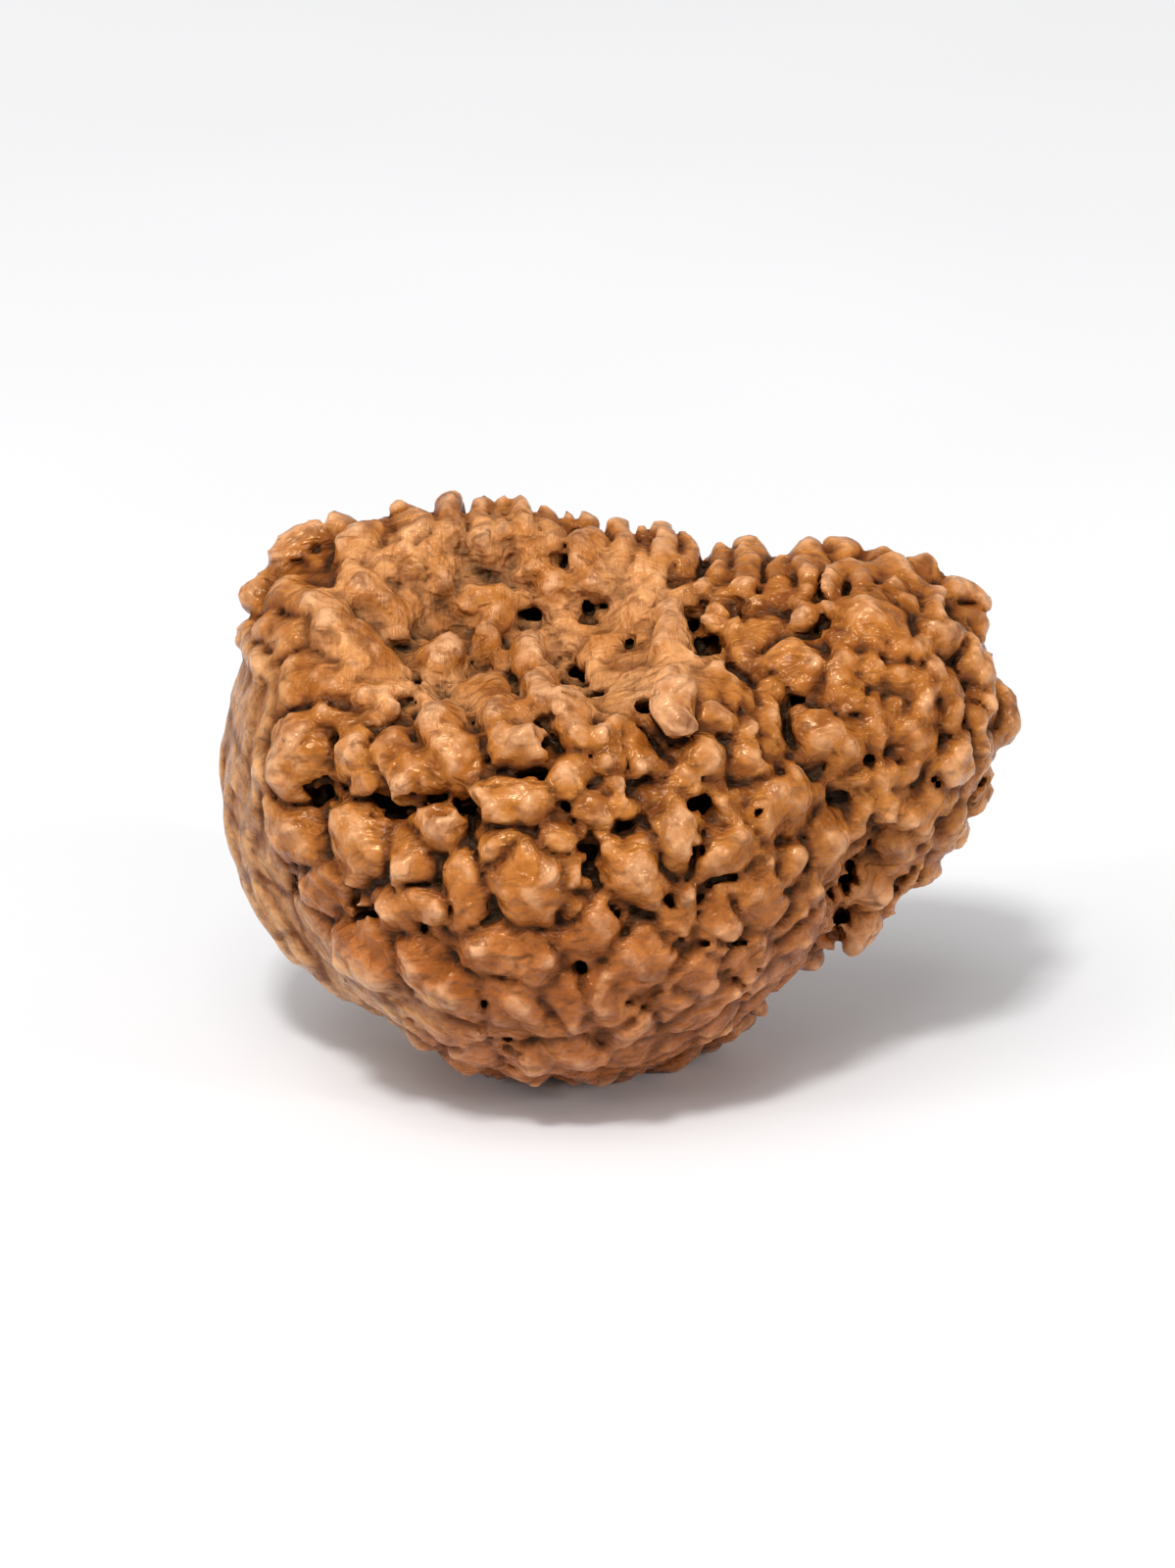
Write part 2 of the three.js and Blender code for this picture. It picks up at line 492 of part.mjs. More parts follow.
// Signed distance to the skin, with the flat spot under it: negative inside.
function skin(p, rods) {
  const height = p.y * Math.cos(LEAN) + p.z * Math.sin(LEAN);
  const q = bend(p);
  const bare = body(q);
  const d = Math.abs(bare) > RELIEF ? bare : relief(q, rods);
  return Math.max(d, FLAT_HEIGHT - height);
}

// The grid of skin distances, with helpers to walk it.
function skinGrid(rods) {
  const size = BOX_HIGH.clone().sub(BOX_LOW).divideScalar(STEP).ceil();
  const [nx, ny, nz] = size.toArray();
  const values = new Float64Array(nx * ny * nz);
  const index = (i, j, k) => i + nx * (j + ny * k);
  const place = (i, j, k) => new THREE.Vector3(i, j, k).multiplyScalar(STEP).add(BOX_LOW);
  for (let k = 0; k < nz; k++)
    for (let j = 0; j < ny; j++)
      for (let i = 0; i < nx; i++) values[index(i, j, k)] = skin(place(i, j, k), rods);
  return { nx, ny, nz, values, index, place };
}

// From a grid point to the six next to it.
const FACE_STEPS = [[-1, 0, 0], [1, 0, 0], [0, -1, 0], [0, 1, 0], [0, 0, -1], [0, 0, 1]];
// A grid point that changes sides gets this small distance.
const TURNED = 0.05;

// Keeps the one region that holds the start point, and turns every other region of its sign over.
function keepOneRegion(grid, start, inside) {
  const { nx, ny, nz, values, index } = grid;
  const same = (n) => values[n] < 0 === inside;
  const seen = new Uint8Array(values.length);
  const open = [start];
  seen[index(...start)] = 1;
  while (open.length) {
    const [i, j, k] = open.pop();
    for (const [di, dj, dk] of FACE_STEPS) {
      const [a, b, c] = [i + di, j + dj, k + dk];
      if (a < 0 || b < 0 || c < 0 || a >= nx || b >= ny || c >= nz) continue;
      const n = index(a, b, c);
      if (seen[n] || !same(n)) continue;
      seen[n] = 1;
      open.push([a, b, c]);
    }
  }
  for (let n = 0; n < values.length; n++) if (same(n) && !seen[n]) values[n] = inside ? TURNED : -TURNED;
}

// Fills grid points until no two solid cells meet only at an edge or a corner.
function closePinches(grid) {
  const { nx, ny, nz, values, index } = grid;
  const steps = [index(1, 0, 0), index(0, 1, 0), index(0, 0, 1)];
  const fill = (n) => (values[n] = Math.min(values[n], -TURNED));
  const full = (n) => values[n] < 0;
  let changed = true;
  const pinchedFace = (n, a, b) => {
    const across = full(n) === full(n + a + b) && full(n + a) === full(n + b);
    return across && full(n) !== full(n + a);
  };
  const pinchedCube = (n, a, b, c) => {
    const ends = [n, n + a + b + c];
    const rest = [n + a, n + b, n + c, n + a + b, n + b + c, n + a + c];
    const both = full(ends[0]) === full(ends[1]);
    return both && rest.every((m) => full(m) !== full(ends[0]));
  };
  while (changed) {
    changed = false;
    for (let k = 0; k < nz - 1; k++)
      for (let j = 0; j < ny - 1; j++)
        for (let i = 0; i < nx - 1; i++) {
          const n = index(i, j, k);
          const [x, y, z] = steps;
          for (const [a, b] of [[x, y], [y, z], [x, z]])
            if (pinchedFace(n, a, b)) {
              [n, n + a, n + b, n + a + b].forEach(fill);
              changed = true;
            }
          const corners = [[n, x, y, z], [n + x, -x, y, z], [n + y, x, -y, z], [n + z, x, y, -z]];
          for (const [m, a, b, c] of corners)
            if (pinchedCube(m, a, b, c)) {
              [m, m + a, m + b, m + c, m + a + b + c].forEach(fill);
              changed = true;
            }
        }
  }
}

// Draws a point of the net to the skin, at most half a grid step away from where it started.
function drawToSkin(p, rods) {
  const e = 0.03;
  const start = p.clone();
  for (let turn = 0; turn < 3; turn++) {
    const slope = new THREE.Vector3();
    for (let axis = 0; axis < 3; axis++) {
      const shift = new THREE.Vector3().setComponent(axis, e);
      const rise = skin(p.clone().add(shift), rods) - skin(p.clone().sub(shift), rods);
      slope.setComponent(axis, rise / (2 * e));
    }
    const d = skin(p, rods);
    p.addScaledVector(slope, -d / Math.max(slope.lengthSq(), 0.25));
    p.sub(start).clampLength(0, STEP / 2).add(start);
  }
  return p;
}

// One vertex in each grid cell that the skin crosses: the middle of its crossings, drawn to the skin.
function netVertices(grid, rods) {
  const { nx, ny, nz, values, index, place } = grid;
  const cells = new Map();
  const vertices = [];
  const corners = [[0, 0, 0], [1, 0, 0], [0, 1, 0], [1, 1, 0], [0, 0, 1], [1, 0, 1], [0, 1, 1], [1, 1, 1]];
  const edges = [];
  for (let a = 0; a < 8; a++) for (const bit of [1, 2, 4]) if (!(a & bit)) edges.push([a, a | bit]);
  for (let k = 0; k < nz - 1; k++)
    for (let j = 0; j < ny - 1; j++)
      for (let i = 0; i < nx - 1; i++) {
        const sum = new THREE.Vector3();
        let crossings = 0;
        for (const [a, b] of edges) {
          const [ca, cb] = [corners[a], corners[b]];
          const va = values[index(i + ca[0], j + ca[1], k + ca[2])];
          const vb = values[index(i + cb[0], j + cb[1], k + cb[2])];
          if (va < 0 === vb < 0) continue;
          const pa = place(i + ca[0], j + ca[1], k + ca[2]);
          const pb = place(i + cb[0], j + cb[1], k + cb[2]);
          sum.add(pa.lerp(pb, va / (va - vb)));
          crossings++;
        }
        if (!crossings) continue;
        cells.set(index(i, j, k), vertices.length);
        vertices.push(drawToSkin(sum.divideScalar(crossings), rods));
      }
  return { cells, vertices };
}

// Two triangles for each grid edge that the skin crosses, split along the shorter diagonal.
function netTriangles(grid, { cells, vertices }) {
  const { nx, ny, nz, values, index } = grid;
  const steps = [index(1, 0, 0), index(0, 1, 0), index(0, 0, 1)];
  const triangles = [];
  for (let k = 1; k < nz - 1; k++)
    for (let j = 1; j < ny - 1; j++)
      for (let i = 1; i < nx - 1; i++)
        for (let axis = 0; axis < 3; axis++) {
          const n = index(i, j, k);
          const inside = values[n] < 0;
          if (inside === values[n + steps[axis]] < 0) continue;
          const a = steps[(axis + 1) % 3];
          const b = steps[(axis + 2) % 3];
          const ring = [n - a - b, n - b, n, n - a].map((m) => cells.get(m));
          if (!inside) ring.reverse();
          const [p, q, r, s] = ring;
          const across = vertices[p].distanceTo(vertices[r]) <= vertices[q].distanceTo(vertices[s]);
          if (across) triangles.push(p, q, r, p, r, s);
          else triangles.push(q, r, s, q, s, p);
        }
  return triangles;
}

// From the working axes to the seed's own frame: the lean, then the shift to the origin.
function toSeedFrame(p) {
  const back = p.y * Math.sin(LEAN) - p.z * Math.cos(LEAN);
  const up = p.y * Math.cos(LEAN) + p.z * Math.sin(LEAN);
  return new THREE.Vector3(p.x - MIDDLE.x, back - MIDDLE.y, up - FLAT_HEIGHT);
}

function seedGeometry() {
  const rods = seedRods();
  const grid = skinGrid(rods);
  const middle = CORE.clone().sub(BOX_LOW).divideScalar(STEP).round().toArray();
  keepOneRegion(grid, middle, true);
  closePinches(grid);
  keepOneRegion(grid, [0, 0, 0], false);
  const net = netVertices(grid, rods);
  const positions = net.vertices.map(toSeedFrame).flatMap((p) => {
    if (Math.abs(p.z) < FLAT_SNAP) p.z = 0;
    return p.toArray();
  });
  const geometry = new THREE.BufferGeometry();
  geometry.setAttribute("position", new THREE.Float32BufferAttribute(positions, 3));
  geometry.setIndex(netTriangles(grid, net));
  geometry.computeVertexNormals();
  return geometry;
}

const seed = new THREE.Mesh(
  seedGeometry(),
  new THREE.MeshStandardMaterial({ color: 0xa96c3a, roughness: 0.55, metalness: 0 }),
);
seed.name = "seed";

const group = new THREE.Group();
group.add(seed);
export default group;
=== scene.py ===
"""The looks of a rudraksha seed: a finely knobbed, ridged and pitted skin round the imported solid's form."""

import math

import bpy
import numpy as np
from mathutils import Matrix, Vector


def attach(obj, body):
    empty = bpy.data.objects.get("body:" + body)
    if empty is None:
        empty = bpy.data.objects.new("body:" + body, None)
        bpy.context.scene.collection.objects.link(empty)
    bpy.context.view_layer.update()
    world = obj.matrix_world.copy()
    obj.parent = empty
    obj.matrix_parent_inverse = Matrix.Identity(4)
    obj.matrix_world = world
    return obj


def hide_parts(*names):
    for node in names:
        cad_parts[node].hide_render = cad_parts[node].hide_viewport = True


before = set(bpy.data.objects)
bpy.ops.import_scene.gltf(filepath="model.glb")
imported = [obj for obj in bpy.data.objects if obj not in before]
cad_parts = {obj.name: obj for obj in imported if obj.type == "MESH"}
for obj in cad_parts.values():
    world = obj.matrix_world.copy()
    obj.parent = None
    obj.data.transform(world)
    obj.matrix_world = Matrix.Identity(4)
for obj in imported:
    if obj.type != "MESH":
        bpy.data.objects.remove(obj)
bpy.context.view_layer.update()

MM = 0.001
TINY = 1e-9  # keeps a divisor from being 0

# Working axes, in millimetres: u to the right, v up and w forward. They lean back about X by this angle.
LEAN = math.radians(22)
# Knobs and hollows are set out on the flat drawing w = 0, and carried to the body along lines
# that meet this far in front of it. The camera stands there too.
SIGHT = 220.0
# Each line is walked from this w on, in steps.
WALK_FRONT = 11.0
WALK_STEP = 0.1
WALK_COUNT = 200
# The origin is under the middle of the seed, on its flat spot. After the lean it lies here.
MIDDLE = (-0.02, 0.15)
FLAT_HEIGHT = -11.3

# The half-moon's outline in the valleys between the knobs: its radius every 10 degrees from +u.
OUTLINE = np.array([
    13.05, 14.3, 14.0, 14.5, 13.0, 11.4, 9.85, 8.9, 9.35,
    9.3, 9.7, 10.8, 11.8, 12.9, 14.4, 14.8, 14.7, 14.5,
    14.75, 14.55, 14.25, 13.5, 12.6, 11.0, 10.7, 10.45, 10.15,
    9.95, 9.7, 9.3, 8.85, 8.65, 9.6, 10.35, 11.2, 12.2,
])
RIM_DEPTH = -2.8
RIM_THICKNESS = 4.7

# Lobes that swell out of the half-moon: middle, half lengths along u, v and w, turn about w in degrees.
LOBES = [
    ((-1.7, -1.8, 0.0), (9.8, 8.6, 7.4), 14),
    ((4.1, -0.5, -0.8), (4.9, 5.2, 6.2), 30),
    ((-7.6, 1.3, -1.6), (6.9, 7.4, 6.2), 4),
    ((8.7, 2.6, -1.8), (5.4, 5.6, 5.4), -20),
    ((-1.8, -4.4, -3.7), (8.0, 6.3, 4.7), 0),
]
BASIN = ((-4.0, 8.6, 5.2), (8.6, 5.6, 6.6), 0)
LOBE_BLEND = 1.5
BASIN_BLEND = 1.2

# Every knob has a cell of the ground, raised towards the knob's height, and furrows run between the cells.
CELL_LEVEL = 0.85  # share of the knob's height
CELL_HIGHEST = 0.9
FURROW_LEVEL = 0.66  # share of the lower cell's level at which the furrow beside it lies
FURROW_DEPTH = 0.08  # and this much lower
FURROW_WIDTH = 0.6
CELL_EDGE = -0.4  # a cell falls off from here to its reach, measured from its knob's skin
CELL_REACH = 0.8
FURROW_REACH = 1.6
SEAM_REACH = 1.1  # a seam runs along a furrow where a knob is this near
SEAM_WIDTH = 0.3
SEAM_DEPTH = 0.24
SEAM_SWAY = 0.3  # its depth sways by this share, over waves this much closer than the ground's
SEAM_SWAY_PITCH = 1.7
SEAM_FLANK_LACK = 0.8
SEAM_BASIN_LACK = 0.6
# The relief starts and is full this far from the plane of the outline.
RELIEF_NEAR = (-0.5, 1.5)
# It lacks this share in the basin, from this distance to its surface on, and low on the front,
# where v falls and w rises through these ranges.
BASIN_LACK = 0.5
BASIN_NEAR = (1.6, 0.3)
LOW_LACK = 0.5
LOW_FILL = 0.22  # the ground between the low knobs there is filled up by this much
LOW_FALL = (3, 7)
LOW_FRONT = (-2, 1)
GROUND_SINK = 0.1  # the ground lies this deep under the body's surface
GROUND_SWAY = 0.2  # and sways up and down by this much
# The sway is the product of two waves, along u and v: radians per millimetre. They are bent by plain waves
# along v and w, and a low one along w is added: how far it swings, radians per millimetre, phase.
SWAY_U = 1.3
SWAY_V = 1.2
SWAY_U_BEND = (1.1, 0.9, 0)
SWAY_V_BEND = (1.3, 0.8, 1)
SWAY_W = (0.2, 2.1, 0)
NORMAL_STEP = 0.05  # the body's slope is measured between points this far to both sides
# The flank is the left end, seen from the front: the share of the outline's radius where it starts and is
# full, and the angles where it fades in and out, in degrees from +u.
FLANK_REACH = (0.84, 0.91)
FLANK_ANGLES = (152, 164, 224, 238)
FLANK_LACK = 0.9  # the small knobs lack this share of their rise there

# Knobs and ridges of the upper and front side. A knob is u, v, radius, rise above the body.
# A ridge adds its far end: u, v, radius.
KNOBS = [
    # far rim, left to right
    (-13.4, 7.2, 0.6, 0.4), (-12.4, 9.2, 0.4, 0.3, -11.2, 9.6, 0.45), (-12.3, 7.8, 0.6, 0.5),
    (-10.4, 9.7, 0.6, 0.8), (-9.5, 9.3, 0.75, 0.9), (-8.5, 9.8, 0.45, 0.5, -8.5, 8.6, 0.35),
    (-8, 10.2, 0.5, 0.7), (-7.3, 9.6, 0.95, 0.9), (-6.9, 9, 0.45, 0.7, -6.7, 7.8, 0.32),
    (-6.2, 10.65, 0.45, 0.9, -6.5, 9.7, 0.45), (-4.9, 10.5, 0.45, 0.8, -4.9, 9.4, 0.4),
    (-4.3, 10.55, 0.4, 0.8, -4.3, 9.6, 0.3), (-3.7, 10.5, 0.45, 0.8, -3.6, 9.6, 0.4),
    (-2.6, 10.1, 0.4, 0.6, -2.4, 9.4, 0.35), (-2.5, 7.75, 0.65, 1.1), (-1.9, 10, 0.35, 0.5),
    (-1.2, 9.95, 0.42, 0.8), (-1.3, 9.1, 0.65, 0.9, -1.2, 8.4, 0.7),
    (0.05, 9.7, 0.42, 0.6, 0.15, 8.6, 0.35), (0.9, 9.5, 0.38, 0.5, 0.7, 8, 0.3),
    (1.6, 9.6, 0.45, 0.7, 1.7, 8.8, 0.4), (2.3, 9.1, 0.48, 0.7, 2.5, 8.3, 0.4),
    (4, 8.6, 0.6, 0.8, 3.8, 7.9, 0.4), (4.7, 8.7, 0.72, 0.9, 4.6, 7.5, 0.45),
    (6.2, 8.2, 0.55, 0.6, 6, 7.1, 0.6), (6.9, 8.65, 0.62, 0.8, 7.1, 7.9, 0.45), (8.3, 8.85, 0.65, 0.9),
    (9.2, 6.8, 0.55, 0.7, 9.8, 6.3, 0.6), (10.3, 8.15, 0.6, 0.8), (11.2, 8.15, 0.68, 0.9),
    (12.5, 7.45, 0.38, 0.6, 13.6, 7.2, 0.36), (13.15, 6.6, 0.5, 0.6, 13.1, 6.2, 0.5),
    # right side ridges
    (11.7, 5.8, 0.55, 0.7, 12.8, 5.4, 0.75), (12.8, 5.4, 0.75, 0.8, 13.5, 4.2, 0.6),
    (13.5, 4.2, 0.6, 0.7, 13.6, 3.4, 0.5), (12.4, 4.1, 0.3, 0.5, 12.4, 2.6, 0.32),
    (14.2, 4, 0.3, 0.5, 14.45, 2.4, 0.5), (13.4, 2.8, 0.25, 0.5, 13.6, 1.6, 0.2), (12.4, 1.3, 0.8, 0.9),
    (13.3, 1.1, 0.45, 0.4), (9.3, -3.5, 0.75, 0.8), (9.1, -4.7, 0.75, 0.7, 8.6, -5.3, 0.6),
    # near rim and centre
    (6.4, 4.7, 0.75, 0.7, 7.2, 4.5, 0.6), (8.1, 4.6, 0.5, 0.6, 8.4, 3.3, 0.6),
    (7.4, 2.1, 0.8, 1, 8.3, 1.9, 0.85), (4.9, 1.1, 0.65, 0.8), (2.15, 3.6, 0.72, 2.2, 2.2, 2.7, 0.6),
    (3, 1.1, 0.8, 1.3), (2.9, 1, 0.65, 1.1, 2.1, -0.4, 0.7), (2.1, -0.4, 0.75, 1.1, 2.1, -2, 0.7),
    (-1.75, 0.65, 0.62, 1), (-1.9, 3.1, 0.6, 1, -1.7, 2.1, 0.62), (-0.95, -0.8, 0.6, 0.8),
    (0.7, -2.8, 1.05, 1), (-2.4, -1.75, 0.6, 0.9), (-3.1, -3.2, 1.65, 1.2), (-1.9, -3, 0.7, 0.8),
    (-2, -4.2, 0.6, 0.6), (-6.65, 4.8, 0.85, 1.4), (-4.7, 3.6, 0.6, 1, -4.4, 2.6, 0.6),
    (-4.2, 1.7, 0.75, 1.2, -3.4, 1.7, 0.68), (-4.4, -0.5, 0.78, 1.2, -3.4, -0.5, 0.78),
    (-4.5, -1.9, 0.75, 0.9), (-6.8, 2.6, 0.65, 1.3, -5.9, 1.2, 0.82),
    (-9.7, 1.5, 0.65, 1.2, -9.4, 0.5, 0.7), (-8.3, 1.5, 0.68, 1.3, -7.8, 0.4, 0.7),
    (-11.8, 1.6, 0.95, 1.2, -12.2, 0.9, 0.9), (-13, 0.6, 0.6, 0.6),
    (-12.1, -1.6, 0.8, 0.9, -11.6, -1.7, 0.8), (-10, -1, 0.75, 1.1, -9.2, -2.2, 0.85),
    (-6.6, -1.3, 0.75, 1), (-7.6, -2.8, 0.85, 1), (-8.2, -4.3, 0.55, 0.8, -6.9, -4.2, 0.6),
    (-5.6, -2.9, 0.65, 0.8, -5.5, -4.4, 0.7), (-9.7, -6.1, 0.85, 0.9, -8.7, -6.4, 0.85),
    (-7.3, -6.3, 0.75, 0.9, -6.1, -7.4, 0.75), (-4.9, -5.5, 0.8, 0.7, -2.9, -6, 0.75),
    # basin left
    (-12.5, 7.1, 0.65, 0.9, -10.8, 6.4, 0.75), (-10.8, 6.2, 0.7, 0.9, -8.8, 4.7, 0.55),
    (-9.8, 7.4, 0.6, 0.8, -8.6, 6.5, 0.68), (-12.9, 5.9, 0.6, 0.7, -12.2, 5.7, 0.6),
    # lower front
    (-7, -8.9, 0.7, 0.4), (-5.4, -9.2, 0.8, 0.4), (-3.7, -7.4, 0.8, 0.4, -3.3, -8.1, 0.8),
    (-1.7, -7.6, 0.6, 0.5), (-3, -9.6, 0.8, 0.7, -1.6, -9.6, 0.7), (0.3, -8.3, 0.8, 0.5),
    (0.4, -9.6, 0.8, 0.4), (1.7, -9.2, 0.6, 0.4), (2.1, -7.6, 0.6, 0.4), (3.7, -4.8, 0.7, 0.7),
    (4.3, -1.8, 0.65, 0.8, 3.6, -2.4, 0.65), (7.8, -1.9, 0.62, 0.8),
]
# Knobs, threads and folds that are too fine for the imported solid.
FINE_KNOBS = [
    # far rim, left to right
    (-12.7, 8.7, 0.5, 0.5, -11.9, 8.7, 0.5), (-13, 7.9, 0.35, 0.4), (-7.9, 8.8, 0.45, 0.7, -7.7, 8.1, 0.35),
    (-3.1, 9.1, 0.5, 0.8), (-3.1, 8.45, 0.48, 0.8), (-1.8, 7.8, 0.28, 0.7, -0.5, 7.9, 0.28),
    (1.3, 8.3, 0.3, 0.4, 0.8, 7, 0.25), (2.3, 7.4, 0.42, 0.7, 3.7, 7.25, 0.42),
    (3.5, 6.9, 0.15, 0.5, 4.3, 6.3, 0.15), (3.4, 6.5, 0.15, 0.4, 4.2, 5.9, 0.15),
    (1.9, 6.6, 0.48, 0.9, 1.8, 5.5, 0.48), (5.2, 6.7, 0.45, 0.6), (5.1, 5.85, 0.38, 0.5),
    (4.5, 7.1, 0.25, 0.4), (7, 7.5, 0.42, 0.6, 6.8, 6.4, 0.4), (8, 8.1, 0.42, 0.6, 7.9, 7.4, 0.4),
    (8.8, 8.1, 0.45, 0.6, 9.3, 7.3, 0.4), (7.9, 6.7, 0.32, 0.5), (7.95, 5.95, 0.35, 0.5),
    (8.9, 5.6, 0.35, 0.4, 9.6, 5.5, 0.35), (10.2, 7.5, 0.35, 0.5), (10.8, 6.9, 0.42, 0.5),
    (11.8, 7.1, 0.42, 0.6, 11.7, 6.4, 0.5),
    # right side ridges
    (10.4, 5.7, 0.5, 0.6, 11.3, 5.2, 0.4), (11.7, 4.6, 0.42, 0.7, 11.4, 3, 0.42), (10.3, 4.4, 0.4, 0.4),
    (9.4, 4.6, 0.4, 0.5), (10.5, 3.4, 0.3, 0.4, 10.3, 2.5, 0.3), (10.9, 2.6, 0.4, 0.5, 11, 1.8, 0.35),
    (9.8, 3, 0.42, 0.6, 9.5, 2, 0.4), (10, 0.9, 0.4, 0.6, 10, -0.6, 0.42), (10.9, 0.75, 0.42, 0.6),
    (10.9, -0.9, 0.48, 0.6), (11.6, 1.2, 0.15, 0.4, 11.6, -0.8, 0.15),
    (11.6, -0.8, 0.15, 0.4, 11.3, -2.6, 0.15), (11.3, -2.6, 0.15, 0.4, 10.2, -4.6, 0.15),
    (9.2, -0.3, 0.36, 0.6, 8.7, -1.6, 0.36), (10.3, -1.9, 0.55, 0.6, 10.8, -2.5, 0.45),
    (12, -1.8, 0.55, 0.4), (11.3, -2.9, 0.55, 0.4), (12.1, -0.2, 0.5, 0.3),
    # near rim and centre
    (5.7, 3.8, 0.4, 0.6, 5.6, 3.2, 0.4), (5.6, 2.6, 0.4, 0.6, 5.8, 1.7, 0.4),
    (4.7, 5, 0.5, 0.6, 5.3, 4.5, 0.4), (4.3, 4, 0.35, 0.5, 4.7, 3.3, 0.3), (3.6, 4.5, 0.25, 0.5),
    (3.3, 2.8, 0.42, 0.8, 4.8, 2.3, 0.35), (6.3, 0.9, 0.42, 0.6, 6.5, -0.3, 0.5), (5.2, 0, 0.35, 0.5),
    (7.4, -0.2, 0.42, 0.5), (3.9, -0.4, 0.4, 0.6, 4.2, -0.9, 0.45), (7.9, 0.35, 0.22, 0.5, 9.3, 0.4, 0.22),
    (-0.6, 2, 0.5, 0.9, -0.3, 1, 0.5), (0.5, 1.9, 0.45, 0.9, 0.9, 1, 0.55), (0, 0.3, 0.45, 0.8),
    (1.4, 0.8, 0.4, 0.7), (-0.2, 2.5, 0.35, 0.8), (0.3, -0.55, 0.42, 0.7), (-0.4, -2.1, 0.3, 0.5),
    (-5.5, 3.7, 0.48, 0.9), (-5.6, 7.1, 0.42, 0.8, -4.6, 7.2, 0.42), (-4.2, 6.8, 0.42, 0.9, -5, 5.2, 0.4),
    (-3.8, 7.2, 0.35, 0.7), (-3.4, 5.4, 0.52, 1.4, -3, 4.2, 0.58), (-3, 4.2, 0.58, 1.3, -2.9, 3.5, 0.5),
    (-4.3, 4.75, 0.4, 0.8), (-3.6, 2.9, 0.5, 0.9), (-7.1, 1.2, 0.48, 1.1, -6.9, 0.4, 0.5),
    (-8.3, -0.2, 0.35, 1), (-10.8, 2.8, 0.35, 0.7, -9.6, 2.3, 0.35), (-12.7, -0.4, 0.5, 0.5),
    (-8.2, -1.9, 0.5, 0.6, -7.2, -2.1, 0.45), (-11, -3, 0.38, 0.4, -9.8, -3.1, 0.38),
    (-10.4, -5.5, 0.45, 0.5), (-6.6, -5.4, 0.4, 0.4),
    # basin left
    (-8.4, 5.8, 0.4, 0.6), (-13.85, 5.8, 0.45, 0.6, -13.1, 4.6, 0.45),
    (-11.2, 4.3, 0.4, 0.4, -10.6, 3.9, 0.35), (-9.4, 3.5, 0.35, 0.5), (-8.5, 4.3, 0.4, 0.6),
    (-12, 3.6, 0.35, 0.4), (-10.1, 4.4, 0.35, 0.4),
    # lower front
    (-1.6, -8.5, 0.5, 0.4), (1.2, -6.8, 0.45, 0.5, 0.4, -7.3, 0.4), (3.2, -6.8, 0.4, 0.5, 3.3, -8.2, 0.45),
    (4.5, -6.9, 0.45, 0.5), (5.6, -6.9, 0.5, 0.5), (4.1, -8.4, 0.55, 0.4), (-0.7, -6.5, 0.42, 0.4),
    (-0.55, -5.5, 0.42, 0.5), (-0.75, -4.8, 0.42, 0.5), (-2.4, -5.3, 0.35, 0.5), (1.3, -5.3, 0.5, 0.5),
    (1, -4.1, 0.5, 0.5), (2.5, -3.7, 0.45, 0.5), (2.6, -4.7, 0.32, 0.4), (4, -3.6, 0.48, 0.5),
    (4.9, -3.9, 0.38, 0.5), (5.8, -3.4, 0.5, 0.5), (5.8, -5.1, 0.45, 0.4), (6.5, -4.3, 0.42, 0.4),
    (5.1, -5.2, 0.35, 0.4), (7.3, -4.6, 0.55, 0.5), (7.2, -3.3, 0.55, 0.6), (6.6, -2.3, 0.5, 0.6),
    (5.4, -2.3, 0.5, 0.6), (5.3, -1.4, 0.48, 0.7), (7.9, -3, 0.45, 0.5), (6.4, -5.9, 0.4, 0.4),
    (1.6, -5.9, 0.4, 0.4), (2.2, -6.4, 0.35, 0.4), (-4.9, -6.9, 0.4, 0.3), (-0.3, -7.6, 0.4, 0.4),
    (3, -9, 0.4, 0.3), (5.2, -8, 0.4, 0.3), (-4.4, -10.2, 0.5, 0.3),
]
KNOB_SPREAD = 1.06  # widens every knob of the lists, so that neighbours touch
KNOB_SWELL = 0.1  # and adds this to its radius
KNOB_RISE = 0.9  # share of the listed rise that stands above the body
KNOB_BLEND = 0.35  # how softly the knobs run out into the ground
GROOVE_WIDTH = 0.35  # a shallow groove runs where two knobs meet
GROOVE_DEPTH = 0.05

# Pits, clefts and hollows: u, v, radius, depth, and the far end of a long one: u, v, radius.
HOLLOWS = [
    (-3.1, 0.7, 0.45, 1.4), (-2, -0.5, 0.28, 1.2), (-6, 3.2, 0.32, 1.4, -5.6, 2.4, 0.25),
    (-7.5, 4, 0.4, 1.3, -6.8, 3.8, 0.3), (-7.9, 3.2, 0.5, 0.9), (-1.1, 6.8, 0.55, 1.8),
    (-3.1, 6.5, 0.35, 1.6), (2.8, 6.3, 0.4, 1.6, 3.2, 5.3, 0.55), (3.2, 5.4, 0.6, 1.9),
    (7.35, 6.2, 0.35, 1.3, 7.4, 5.7, 0.3), (8, 0.65, 0.35, 1.3, 9.2, 1.15, 0.38), (9.5, 3.75, 0.3, 1.1),
    (0.2, -1.4, 0.3, 1.1), (11.8, 0.5, 0.28, 1), (-6.9, -5.2, 0.3, 0.9, -7.3, -5.1, 0.25),
    (7, 3.25, 0.3, 1),
]
